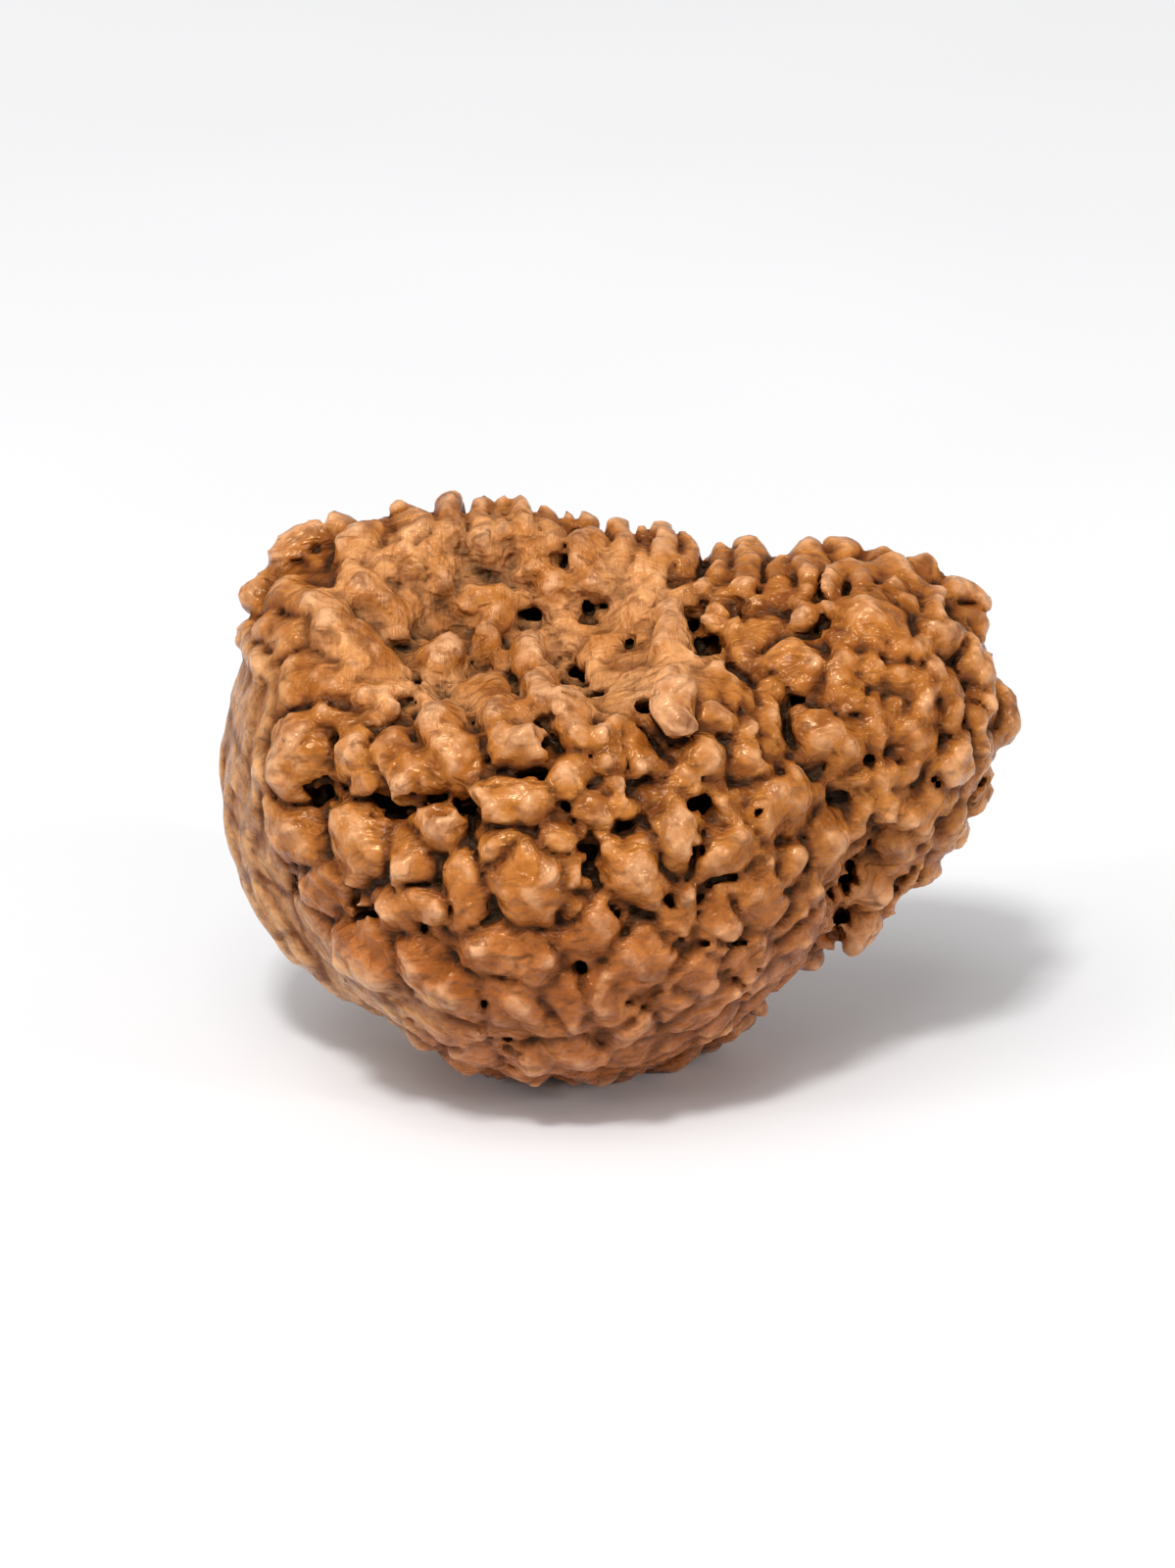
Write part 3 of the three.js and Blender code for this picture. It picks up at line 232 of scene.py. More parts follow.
FINE_HOLLOWS = [
    (-5.5, 10.2, 0.16, 0.4, -5.45, 9.2, 0.14), (10.2, 2.2, 0.22, 1, 9.8, 1.7, 0.22),
    (12.5, 4.9, 0.16, 0.9, 12.9, 3.8, 0.22), (6.4, 2.1, 0.18, 1, 6.45, 1.4, 0.16),
    (-5, -7.2, 0.25, 1, -4.6, -7.9, 0.15), (-4, -9.4, 0.25, 1, -3.6, -9.9, 0.2),
    (-3.6, -10.1, 0.2, 1, -2.2, -10.5, 0.16), (3.1, 8.4, 0.2, 1), (4.25, 7.3, 0.2, 0.8),
    (5.1, 7.6, 0.15, 0.8),
]
# Deep clefts and caves between knobs, cut after them.
CLEFTS = [
    (-10.9, 0.1, 0.7, 1.7), (-11.2, -0.5, 0.4, 1.4, -10.6, -0.1, 0.45),
    (-9.3, -0.35, 0.3, 1.4, -8.5, -0.75, 0.44), (-8.5, -0.75, 0.44, 1.5, -7.5, -0.62, 0.3),
    (-7.5, -0.62, 0.3, 1.4, -6.7, -0.3, 0.36), (-6.1, -0.25, 0.36, 1.5, -5.45, -0.75, 0.3),
    (-5.45, -0.75, 0.3, 1.4, -5.5, -1.6, 0.22), (-9.75, -4.5, 0.45, 1.7, -9.2, -4.55, 0.4),
    (-2.1, 4.9, 0.4, 1.9, -1.4, 4.1, 0.38), (-1.4, 4.1, 0.38, 1.8, -0.7, 3.2, 0.35),
    (8.9, -2.5, 0.28, 1.8, 8.35, -3.8, 0.42), (8.35, -3.8, 0.42, 1.9, 8.3, -5, 0.3),
    (8.3, -5, 0.3, 1.8, 7.2, -6.1, 0.28),
]
FINE_CLEFTS = [
    (0.85, 3.3, 0.25, 1.5, 0.95, 2.1, 0.22), (-2.65, 3, 0.2, 1.3, -2.7, 1.4, 0.2),
    (3.15, 0.1, 0.22, 1.4, 3.1, -2.5, 0.15), (-1.1, -1.6, 0.22, 1.3, -0.95, -2.8, 0.25),
    (9.6, -1.4, 0.2, 1.2, 8.8, -2.7, 0.24),
]
# Needle-thin holes and creases, cut last.
CREASES = [
    (-1.38, -6.55, 0.24, 1.2), (2.25, -8.95, 0.22, 0.8), (1.9, -4.1, 0.16, 0.7),
    (3, -4.15, 0.1, 0.3, 3.5, -3.45, 0.12), (3.5, -3.45, 0.12, 0.3, 4.4, -3.1, 0.1),
    (2.3, -5.1, 0.1, 0.4, 2.3, -5.4, 0.1), (3, -5.6, 0.08, 0.2, 4.9, -5.8, 0.08), (5.15, -6.45, 0.12, 0.5),
    (4.1, -6.6, 0.06, 0, 4.8, -7.6, 0.06), (-0.45, -4.2, 0.1, 0.4, 0.1, -4.7, 0.14),
    (0.35, -5.4, 0.12, 0.5), (0.1, -7.75, 0.06, 0.1, 1.2, -7.9, 0.06),
    (-2.1, -10.35, 0.1, 0.5, -1.2, -10.2, 0.08), (-0.8, -10.4, 0.14, 0.6),
    (7.55, 8.3, 0.1, 0.3, 7.5, 7.1, 0.1), (-2, 8.85, 0.1, 0.4, -2.05, 8.4, 0.1), (0.42, 5.55, 0.18, 0.8),
    (1.4, 2.7, 0.14, 0.8), (13.6, 0.5, 0.1, 0.6, 12.7, -0.6, 0.12),
    (12.9, -0.85, 0.1, 0.6, 12.4, -1.25, 0.1), (14.15, 1.3, 0.12, 0.5), (5.3, -0.65, 0.15, 0.7),
    (5.4, 1.45, 0.06, 0.2, 6.1, 0.7, 0.08), (-10.1, -6.8, 0.14, 0.5, -9.8, -6.9, 0.1),
    (-7.65, -8.45, 0.1, 0.4), (3.9, 4.2, 0.12, 0.4), (9.5, 7.55, 0.1, 0.4),
    (-5, -10.65, 0.06, 0.1, -4.1, -10.7, 0.06),
]
HOLLOW_BLEND = 0.25
CLEFT_BLEND = 0.15
CLEFT_MOUTH = 1.1
CLEFT_PITCH = 0.9  # the bores of a cleft are this far apart, times its radius
HOLLOW_MOUTH = 0.1
HOLLOW_TIP = 0.65  # the bottom's radius as a share of the listed one
CREASE_BLEND = 0.12
CREASE_LENGTH = 1.6
CREASE_PITCH = 1.2  # as for a cleft

# Smaller knobs fill the rest of the surface, and larger ones stand among them on the far side, lower near
# the outline. Their places are spread evenly round the core.
SMALL_KNOBS = 300
LARGE_KNOBS = 420
# Radius, its skew, rise as a share of it, half length. A pair is the least and the most. The higher a skew,
# the more of the knobs are near the least.
SMALL_SIZE = ((1.0, 1.4), 2, (0.25, 0.55), (0.1, 0.65))
LARGE_SIZE = ((0.6, 1.35), 1.5, (0.45, 0.8), (0.1, 1.4))
HALF_LENGTH_SKEW = 2
CORE = np.array([0.0, -0.5, -2.6])
CORE_REACH = 19.0  # nothing lies farther from it
HEIGHT_STRAY = 0.03  # the places stray a little from the even spread
TURN_STRAY = 0.05
SMALL_CLEAR = 0.3  # a small knob keeps this far from a larger one
KNOB_CLEAR = 0.25  # and this share of the larger one's radius more
HOLLOW_CLEAR = 0.45  # and this far from a hollow
SMALL_BLEND = 0.22
BASIN_RISE_LACK = 0.5  # the small knobs lack this share of their rise in the basin
LOW_RISE_LACK = 0.3  # and this low on the front
HIDDEN_EXTRA_RISE = 0.1
RIM_NEAR = (2.5, 0.5)  # distance from the outline's plane at which the knobs start to sink, and end
RIM_SHARE_LOST = 0.6
RIM_SINK = 0.15
END_TAPER = 0.25  # a short rod's far end is up to this share thinner
RIGHT_END = 5.0  # right of this u, and above v = 0, every rod lies along this direction
RIGHT_LIE = np.array([0.25, 1.0, 0.0])
GOLDEN_ANGLE = math.pi * (3 - math.sqrt(5))
HIDDEN_BELOW = 0.02  # a place is hidden from the front if it faces there by less than this
# Large unrelated factors scatter the digits of a sine, which then serve as chance.
SCATTER = 43758.5453
INDEX_SCATTER = 12.9898
PURPOSE_SCATTER = 78.233
LATTICE_SCATTER = (127.1, 311.7, 74.7, 19.19)
# What a chance is drawn for.
FOR_HEIGHT = 1
FOR_TURN = 2
FOR_RADIUS = 3
FOR_RISE = 4
FOR_LIE = (5, 6, 7)
FOR_LENGTH = 8
FOR_TAPER = 10

# Waves bend every knob and ridge a little: radians per millimetre, height.
WAVES = ((2.1, 0.16), (4.3, 0.09), (7.9, 0.035))
# Their stretch and phase, for shifts along u, v and w: along the next axis, and along the one after it.
WAVE_TURNS = ((1.0, 1.3, 0.8, 0.4), (0.9, 2.1, 1.1, 1.4), (1.05, 0.2, 0.95, 2.6))
WAVE_LACK = 0.8  # they lack this share of their height on the flank

# Shifts back and forth make the walls of a hollow uneven: radians per millimetre along u, v and w. Each is
# bent by a plain wave along the next axis.
RAGGED_SHIFT = 0.25
RAGGED_PITCHES = (6.1, 5.3, 5.9)
RAGGED_BENDS = ((2, 3.7, 0), (2, 4.1, 0), (2, 3.3, 0))

# Fine relief of rounded cells: squeeze along u, v and w, size, and a number that sets its places apart.
EVEN = (1, 1, 1)
LUMPS = (EVEN, 1.15, 3)
WRINKLES = ((1, 0.8, 1), 0.6, 7)
LONG_CELLS = ((1, 0.4, 1), 0.9, 11)
DOME_REACH = 0.85  # a cell ends this far from its middle, as a share of its size
SKIN_BAND = 0.8  # nothing farther than this from the skin is changed
LUMP_HEIGHT = 0.13
LUMP_KNOB_LACK = 0.7  # the lumps lack this share on a knob that stands as high as the next number
KNOB_HEIGHT = 0.5
LUMP_FLANK_LACK = 0.9
LUMP_BASIN_LACK = 0.6
LOW_LUMP_HEIGHT = 0.07  # added low on the front
WRINKLE_HEIGHT = 0.06
WRINKLE_FLANK_LACK = 0.7
# The flank has relief of this height instead: long cells, and streaks along the outline, which have this
# share of it and these radians per millimetre, and sway by plain waves along v and w.
FLANK_HEIGHT = 0.1
STREAK_SHARE = 0.7
STREAK_PITCH = 7.0
STREAK_SWAY_V = (2.5, 0.7, 0)
STREAK_SWAY_W = (1.5, 1.7, 0)

# Noises of the skin: stretch along X, Y and Z, pitch in millimetres, detail, roughness, distortion.
PATCHES = (EVEN, 3.2, 3, 0.55, 0)
MOTTLE = (EVEN, 0.8, 5, 0.65, 0.4)
HERE_AND_THERE = (EVEN, 1.7, 2, 0.55, 0)
BROKEN = (EVEN, 0.9, 3, 0.55, 0)
GRAIN = ((1.8, 0.6, 0.9), 0.2, 4, 0.6, 0.5)
FOLDS = ((0.8, 1.4, 1.1), 1.0, 1, 0.4, 0.9)
CREPE = ((0.7, 1.5, 1.2), 0.55, 1, 0.4, 0.9)
BASIN_STREAKS = ((2.6, 0.5, 0.5), 0.9, 4, 0.6, 0.6)
FLOOR_PATCHES = (EVEN, 60.0, 2, 0.55, 0)

# Ground colours, as the eye sees them, from 0 to 255: the darker and the lighter patches.
WARM = ((162, 94, 32), (192, 121, 53))
RED = ((158, 86, 36), (190, 115, 62))
PALE = ((206, 136, 74), (230, 166, 108))
DULL = ((202, 142, 84), (232, 179, 124))
PATCH_RANGE = (0.35, 0.65)
PALE_RISE = (0.7, 0.25)  # the basin's floor is pale where the skin rises less than this above the body
FLANK_DULLNESS = 0.85
BASIN_KEEPS = 0.3  # share of most painted shade that the basin keeps

# Tints laid over them: where their value starts to show them, where it shows them fully, strength, colour.
STREAK_TINT = (0.46, 0.3, 0.6, (158, 88, 30))
# Painted highlight: the crowns of the knobs are painted paler and pinker.
PAINTED_CROWN_HIGHLIGHT = (0.42, 0.3, 0.65, (232, 177, 131))
MOTTLE_TINT = (0.42, 0.7, 0.4, (142, 76, 22))
GRAIN_TINT = (0.58, 0.72, 0.25, (106, 54, 14))
FOLD_TINT = (0.45, 0.3, 0.5, (112, 56, 10))
CREPE_TINT = (0.45, 0.3, 0.6, (100, 48, 8))
# Painted shade: dark lines along the seams between the knobs.
PAINTED_SEAM_SHADE = (0.42, 0.1, 1, (66, 26, 2))
# Painted shade: dark lines in the creases between the lumps.
PAINTED_LUMP_SHADE = (0.35, 0.1, 0.6, (112, 54, 18))
# Painted shade: furrows, deeper places and the deepest pits are painted darker the deeper they lie.
PAINTED_FURROW_SHADE = (0.43, 0.55, 0.85, (120, 58, 8))
PAINTED_DEEP_SHADE = (0.52, 0.63, 1, (52, 20, 1))
PAINTED_DEEPEST_SHADE = (0.61, 0.72, 1, (24, 9, 1))
SEAM_CAVITY = (0.4, 0.52)
BROKEN_RANGE = (0.35, 0.6, 0.25, 1)
HERE_RANGE = (0.4, 0.62)
MOTTLED_SHADE = (0.25, 0.75, -0.05, 0.05)
HOLLOW_SHARE = 0.55  # of the cavity value, and the narrow creases give the rest

# A range is a value's start and end, then what they are turned into: roughness by the mottle, the roughness
# that a cavity adds, and the bump's height on crowns and in cavities, here times the distance.
GLOSS = (0.3, 0.7, 0.14, 0.28)
CAVITY_GLOSS = (0.45, 0.6, 0, 0.45)
SPECULAR_LEVEL = 0.36
SPECULAR_TINT = (1.0, 0.7, 0.44, 1)
COAT_WEIGHT = 0.03
COAT_ROUGHNESS = 0.1
FOLD_BUMP = (0.38, 0.56, 1.5, 2.6)
CREPE_BUMP = (0.38, 0.56, 0.35, 1.2)
GRAIN_BUMP = 0.02
STREAK_BUMP = 0.8
BUMP_DISTANCE = 0.22
# Places of a mix node's colour sockets.
MIX_FIRST = 6
MIX_SECOND = 7
MIX_RESULT = 2

# The floor, in metres and linear light.
FLOOR_HALF = 0.6
FLOOR_GREYS = ((0.76, 0.76, 0.77, 1), (0.79, 0.79, 0.8, 1))
FLOOR_RANGE = (0.3, 0.7)
FLOOR_ROUGHNESS = 0.8
# Soft lights: name, place and size in metres, watts.
LIGHTS = (
    ("key", (-0.15, -0.30, 0.75), (0.65, 0.5), 2.7),
    ("glint", (-0.12, -0.35, 0.65), (0.1, 0.1), 3.1),
    ("right", (0.70, -0.40, 0.35), (0.08, 0.25), 1.5),
    ("left", (-0.75, -0.30, 0.30), (0.08, 0.25), 1.2),
)
LIGHT_TARGET = Vector((0, 0, 0.01))
SKY = (1, 1, 1, 1)
SKY_STRENGTH = 0.46

# The skin is found on a grid of this step, in a box that holds the whole seed.
STEP = 0.195
FLAT_SNAP = 0.03  # a vertex that lies lower than this is laid on the flat spot
STAMP_MARGIN = 0.35  # a rod is worked out this much farther than it reaches
PINCH_FILL = -0.02  # value given to a grid point that is filled
# A point of the skin counts as deep where much solid lies this near.
CREASE_BLUR = 0.25
HOLLOW_BLUR = 0.8
RED_FALL = (2.0, 7.0)  # the skin turns redder where v falls through this range
BOX_LOW = np.array([-16.6, -12.6, -10.6])
BOX_HIGH = np.array([16.6, 12.4, 9.4])

# The picture: its height at the drawing's distance, and where its middle lies on the drawing.
PICTURE_PIXELS = 1600
SEED_PIXELS = 818
SEED_LENGTH = 30
PICTURE_HEIGHT = PICTURE_PIXELS * SEED_LENGTH / SEED_PIXELS
PICTURE_MIDDLE = (-1.14, 0.26)
SENSOR = 36.0
CLIP_START = 0.01


def to_seed_frame(p):
    """From the working axes to the seed's own frame, both in millimetres."""
    back = p[..., 1] * math.sin(LEAN) - p[..., 2] * math.cos(LEAN)
    up = p[..., 1] * math.cos(LEAN) + p[..., 2] * math.sin(LEAN)
    return np.stack([p[..., 0] - MIDDLE[0], back - MIDDLE[1], up - FLAT_HEIGHT], -1)


def smooth_join(a, b, blend):
    near = np.maximum(blend - np.abs(a - b), 0) / blend
    return np.minimum(a, b) - near * near * blend / 4


def smooth_cut(a, b, blend):
    """Cuts form b out of form a."""
    return -smooth_join(-a, b, blend)


def length(x, y, z):
    return np.sqrt(x * x + y * y + z * z)


def ellipsoid(p, shape):
    middle, half, turn = shape
    c, s = math.cos(math.radians(turn)), math.sin(math.radians(turn))
    du, dv, w = p[..., 0] - middle[0], p[..., 1] - middle[1], p[..., 2] - middle[2]
    u = du * c + dv * s
    v = dv * c - du * s
    near = length(u / half[0], v / half[1], w / half[2])
    slope = length(u / half[0] ** 2, v / half[1] ** 2, w / half[2] ** 2)
    return near * (near - 1) / (slope + TINY)


def outline_radius(angle):
    """The outline's radius at an angle, as a smooth curve through the listed values."""
    count = len(OUTLINE)
    place = (angle / (2 * math.pi) * count) % count
    i = np.floor(place).astype(int)
    t = place - i
    a, b, c, d = (OUTLINE[(i + step) % count] for step in (-1, 0, 1, 2))
    curve = b + 0.5 * t * (c - a + t * (2 * a - 5 * b + 4 * c - d + t * (3 * (b - c) + d - a)))
    return curve * (1 - RIM_DEPTH / SIGHT)


def half_moon(p):
    radius = outline_radius(np.arctan2(p[..., 1], p[..., 0]))
    reach = np.hypot(p[..., 0], p[..., 1])
    w = p[..., 2] - RIM_DEPTH
    near = np.hypot(reach / radius, w / RIM_THICKNESS)
    slope = np.hypot(reach / radius**2, w / RIM_THICKNESS**2)
    return near * (near - 1) / (slope + TINY)


def body(p):
    """Signed distance to the bare body, without knobs: negative inside."""
    d = half_moon(p)
    for lobe in LOBES:
        d = smooth_join(d, ellipsoid(p, lobe), LOBE_BLEND)
    return smooth_cut(d, ellipsoid(p, BASIN), BASIN_BLEND)


def ramp(value, start, end):
    t = np.clip((value - start) / (end - start), 0, 1)
    return t * t * (3 - 2 * t)


def flank(p):
    """1 on the smooth left flank and 0 elsewhere."""
    angle = np.arctan2(p[..., 1], p[..., 0])
    degrees = np.degrees(angle) % 360
    reach = np.hypot(p[..., 0], p[..., 1]) / outline_radius(angle)
    a, b, c, d = FLANK_ANGLES
    return ramp(degrees, a, b) * ramp(-degrees, -d, -c) * ramp(reach, *FLANK_REACH)


def plain_wave(row, x):
    far, pitch, phase = row
    return far * np.sin(pitch * x + phase)


def slow_wave(q):
    """Wanders between about -1 and 1, over a few millimetres."""
    u, v, w = q[..., 0], q[..., 1], q[..., 2]
    across = np.sin(SWAY_U * u + plain_wave(SWAY_U_BEND, v))
    along = np.sin(SWAY_V * v + plain_wave(SWAY_V_BEND, w))
    return across * along + plain_wave(SWAY_W, w)


def basin_share(p):
    """1 in and on the basin, 0 a little away from it."""
    return ramp(ellipsoid(p, BASIN), *BASIN_NEAR)


def low_front(p):
    """1 low on the front, 0 elsewhere."""
    return ramp(-p[..., 1], *LOW_FALL) * ramp(p[..., 2], *LOW_FRONT)


def relief_share(p):
    """How strong the relief of the ground is."""
    full = ramp(np.abs(p[..., 2] - RIM_DEPTH), *RELIEF_NEAR) * (1 - flank(p))
    return full * (1 - BASIN_LACK * basin_share(p)) * (1 - LOW_LACK * low_front(p))


def ground(p):
    """Signed distance to the ground between the knobs, without its cells."""
    return body(p) + (GROUND_SINK + GROUND_SWAY * slow_wave(p)) * relief_share(p)


def body_normal(p):
    slope = [body(p + NORMAL_STEP * axis) - body(p - NORMAL_STEP * axis) for axis in np.eye(3)]
    n = np.stack(slope, -1)
    return n / np.linalg.norm(n, axis=-1, keepdims=True)


def on_sight_line(u, v, w):
    return np.stack([u * (1 - w / SIGHT), v * (1 - w / SIGHT), w], -1)


def landing(u, v, level):
    """Where the lines through (u, v) first meet the body at a level, or where they pass closest."""
    ws = WALK_FRONT - WALK_STEP * np.arange(WALK_COUNT)
    across = np.ones(WALK_COUNT)
    d = body(on_sight_line(u[:, None] * across, v[:, None] * across, ws + 0 * u[:, None]))
    met = d < level[:, None]
    first = np.argmax(met, axis=1)
    rows = np.arange(len(u))
    after, before = d[rows, first], d[rows, np.maximum(first - 1, 0)]
    w = ws[first] + WALK_STEP * (1 - (before - level) / (before - after + TINY))
    w = np.where(met.any(axis=1), w, ws[np.argmin(d, axis=1)])
    return on_sight_line(u, v, w)


def columns(rows):
    """The rows' values side by side, with the far end of a plain knob or pit at its near end."""
    full = [row if len(row) > 4 else (*row, row[0], row[1], row[2]) for row in rows]
    return np.array(full, dtype=float).T


def knob_rods(rows):
    u, v, r, rise, u2, v2, r2 = columns(rows)
    r, r2 = r * KNOB_SPREAD + KNOB_SWELL, r2 * KNOB_SPREAD + KNOB_SWELL
    a = landing(u, v, rise * KNOB_RISE - r)
    b = landing(u2, v2, rise * KNOB_RISE - r2)
    return list(zip(a, b, r, r2))


def hollow_rods(rows):
    u, v, r, depth, u2, v2, r2 = columns(rows)
    a = landing(u, v, r - depth)
    b = landing(u2, v2, r2 - depth)
    mouth = HOLLOW_MOUTH + 0 * u
    bottoms = zip(a, b, r * HOLLOW_TIP, r2 * HOLLOW_TIP)
    mouths = zip(a, landing(u, v, mouth), r * HOLLOW_TIP, r)
    far_mouths = zip(b, landing(u2, v2, mouth), r2 * HOLLOW_TIP, r2)
    return [*bottoms, *mouths, *far_mouths]


def cleft_rods(rows):
    """Short bores side by side along each cleft, from its bottom to its mouth."""
    bores = []
    for u, v, r, depth, u2, v2, r2 in columns(rows).T:
        count = math.ceil(math.hypot(u2 - u, v2 - v) / (min(r, r2) * CLEFT_PITCH))
        t = np.linspace(0, 1, count + 1)
        radius = r + (r2 - r) * t
        place = (u + (u2 - u) * t, v + (v2 - v) * t)
        bottom = landing(*place, radius - depth)
        mouth = landing(*place, CLEFT_MOUTH + 0 * t)
        bores += zip(bottom, mouth, radius * HOLLOW_TIP, radius)
    return bores


def crease_rods(rows):
    """Short bores side by side along each crease, open towards the front."""
    u, v, r, depth, u2, v2, r2 = columns(rows)
    out = np.array([0, 0, CREASE_LENGTH])
    rods = []
    for start, end, near, far in zip(landing(u, v, -depth), landing(u2, v2, -depth), r, r2):
        count = int(np.linalg.norm(start - end) / (near * CREASE_PITCH)) + 1
        for t in np.linspace(0, 1, count + 1):
            place = start * (1 - t) + end * t
            radius = near * (1 - t) + far * t
            rods.append((place, place + out, radius, radius))
    return rods


def rod_distance(p, rod):
    """Signed distance to a rod with round ends."""
    a, b, ra, rb = rod
    ab = b - a
    along = np.clip((p - a) @ ab / max(ab @ ab, TINY), 0, 1)
    off = p - a - along[..., None] * ab
    return length(off[..., 0], off[..., 1], off[..., 2]) - (ra + (rb - ra) * along)


def chance(index, purpose):
    """A number from 0 to 1 that depends only on the knob's index and the purpose."""
    x = np.sin(index * INDEX_SCATTER + purpose * PURPOSE_SCATTER) * SCATTER
    return x - np.floor(x)


def body_points(direction, form):
    """The outermost points of a form, the body or its ground, in directions from the core."""
    t = np.arange(1.0, CORE_REACH + WALK_STEP / 2, WALK_STEP)
    d = form(CORE + direction[:, None, :] * t[None, :, None])
    last = d.shape[1] - 1 - np.argmax((d <= 0)[:, ::-1], axis=1)
    rows = np.arange(len(direction))
    inside, outside = -d[rows, last], d[rows, last + 1]
    reach = t[last] + WALK_STEP * inside / (outside + inside)
    return CORE + direction * reach[:, None]


def spread(count, form):
    """Evenly spread places on a form: their points, normals, and whether the front hides them."""
    i = np.arange(count)
    stray = (chance(i, FOR_HEIGHT) - 0.5) * HEIGHT_STRAY
    height = np.clip(1 - 2 * (i + 0.5) / count + stray, -1, 1)
    azimuth = i * GOLDEN_ANGLE + (chance(i, FOR_TURN) - 0.5) * TURN_STRAY
    ring = np.sqrt(1 - height**2)
    p = body_points(np.stack([ring * np.cos(azimuth), height, ring * np.sin(azimuth)], -1), form)
    normal = body_normal(p)
    eye = np.array([0, 0, SIGHT]) - p
    hidden = (normal * eye).sum(-1) / np.linalg.norm(eye, axis=-1) < HIDDEN_BELOW
    return p, normal, hidden


def lying_rod(index, p, normal, radius, rise, half):
    """A short rod that lies on the body in a direction of its own."""
    middle = p + normal * (rise - radius)
    lie = np.array([chance(index, purpose) - 0.5 for purpose in FOR_LIE])
    if p[0] > RIGHT_END and p[1] > 0:
        lie = RIGHT_LIE
    lie = lie - normal * (lie @ normal)
    lie = lie / np.linalg.norm(lie)
    far_radius = radius * (1 - END_TAPER * (1 - chance(index, FOR_TAPER)))
    return middle - lie * half, middle + lie * half, radius, far_radius


def between(ends, share):
    return ends[0] + (ends[1] - ends[0]) * share


def knob_size(index, size):
    """A knob's radius, its rise as a share of the radius, and its half length."""
    radii, skew, rises, halves = size
    radius = between(radii, chance(index, FOR_RADIUS) ** skew)
    steep = between(rises, chance(index, FOR_RISE))
    return radius, steep, between(halves, chance(index, FOR_LENGTH) ** HALF_LENGTH_SKEW)


def large_knob_rods():
    p, normal, hidden = spread(LARGE_KNOBS, body)
    smooth = flank(p)
    rods = []
    for k in np.nonzero(hidden)[0]:
        radius, steep, half = knob_size(k, LARGE_SIZE)
        rim = ramp(abs(p[k, 2] - RIM_DEPTH), *RIM_NEAR)
        rise = radius * steep * (1 - RIM_SHARE_LOST * rim) * (1 - smooth[k])
        rods.append(lying_rod(k, p[k], normal[k], radius, rise - RIM_SINK * max(rim, smooth[k]), half))
    return rods


def small_knob_rods(knobs, hollows):
    p, normal, hidden = spread(SMALL_KNOBS, ground)
    share = 1 - np.maximum(BASIN_RISE_LACK * basin_share(p), LOW_RISE_LACK * low_front(p))
    share *= 1 - FLANK_LACK * flank(p)
    keep = np.ones(len(p), bool)
    for rod in knobs:
        keep &= rod_distance(p, rod) >= SMALL_CLEAR + KNOB_CLEAR * min(rod[2], rod[3])
    for rod in hollows:
        keep &= rod_distance(p, rod) >= HOLLOW_CLEAR
    rods = []
    for k in np.nonzero(keep)[0]:
        radius, steep, half = knob_size(k, SMALL_SIZE)
        steep += HIDDEN_EXTRA_RISE * hidden[k]
        rods.append(lying_rod(k, p[k], normal[k], radius, radius * steep * share[k], half))
    return rods


def bend(p):
    """Shifts points by slow waves."""
    q = p.copy()
    share = 1 - WAVE_LACK * flank(p)
    for pitch, high in WAVES:
        for axis, (stretch, phase, next_stretch, next_phase) in enumerate(WAVE_TURNS):
            across = np.sin(pitch * stretch * p[..., (axis + 1) % 3] + phase)
            along = np.cos(pitch * next_stretch * p[..., (axis + 2) % 3] + next_phase)
            q[..., axis] += high * share * across * along
    return q


def ragged(q):
    """Shifts points a little back and forth, so that the walls of a hollow are uneven."""
    shifts = []
    for axis, (pitch, bent) in enumerate(zip(RAGGED_PITCHES, RAGGED_BENDS)):
        shifts.append(np.sin(pitch * q[..., axis] + plain_wave(bent, q[..., (axis + 1) % 3])))
    return q + RAGGED_SHIFT * np.stack(shifts, -1)


def lattice_chance(place, purpose):
    """A number from 0 to 1 for each place of a lattice."""
    a, b, c, d = LATTICE_SCATTER
    x = np.sin(place[..., 0] * a + place[..., 1] * b + place[..., 2] * c + purpose * d) * SCATTER
    return x - np.floor(x)


def cells(p, kind):
    """Domes with a crease between neighbours: 1 on a crown, falling to about 0 where cells meet."""
    squeeze, size, purpose = kind
    q = p * np.array(squeeze) / size
    first = np.full(q.shape[:-1], np.inf)
    for offset in np.ndindex(3, 3, 3):
        place = np.floor(q) + offset - 1
        away = [place[..., k] + lattice_chance(place, purpose + k) - q[..., k] for k in range(3)]
        first = np.minimum(first, length(*away))
    return np.clip(1 - (first / DOME_REACH) ** 2, 0, 1)


def streaks(q):
    """Wanders between -1 and 1 across lines that run along the outline."""
    sway = plain_wave(STREAK_SWAY_V, q[:, 1]) + plain_wave(STREAK_SWAY_W, q[:, 2])
    return np.sin(STREAK_PITCH * np.hypot(q[:, 0], q[:, 1]) + sway)


def add_fine_relief(d, bare, q):
    """Low lumps and wrinkles all over, weaker on the knobs, and streaks on the smooth left flank."""
    band = np.abs(d) < SKIN_BAND
    near = q[band]
    above = np.clip((bare[band] - d[band]) / KNOB_HEIGHT, 0, 1)
    smooth = flank(near)
    still = np.maximum(LUMP_FLANK_LACK * smooth, LUMP_BASIN_LACK * basin_share(near))
    lumpy = LUMP_HEIGHT * (1 - LUMP_KNOB_LACK * above) * (1 - still) + LOW_LUMP_HEIGHT * low_front(near)
    d[band] -= lumpy * (cells(near, LUMPS) - 0.5)
    d[band] -= WRINKLE_HEIGHT * (1 - WRINKLE_FLANK_LACK * smooth) * (cells(near, WRINKLES) - 0.5)
    d[band] -= FLANK_HEIGHT * smooth * (STREAK_SHARE * streaks(near) + cells(near, LONG_CELLS) - 0.5)


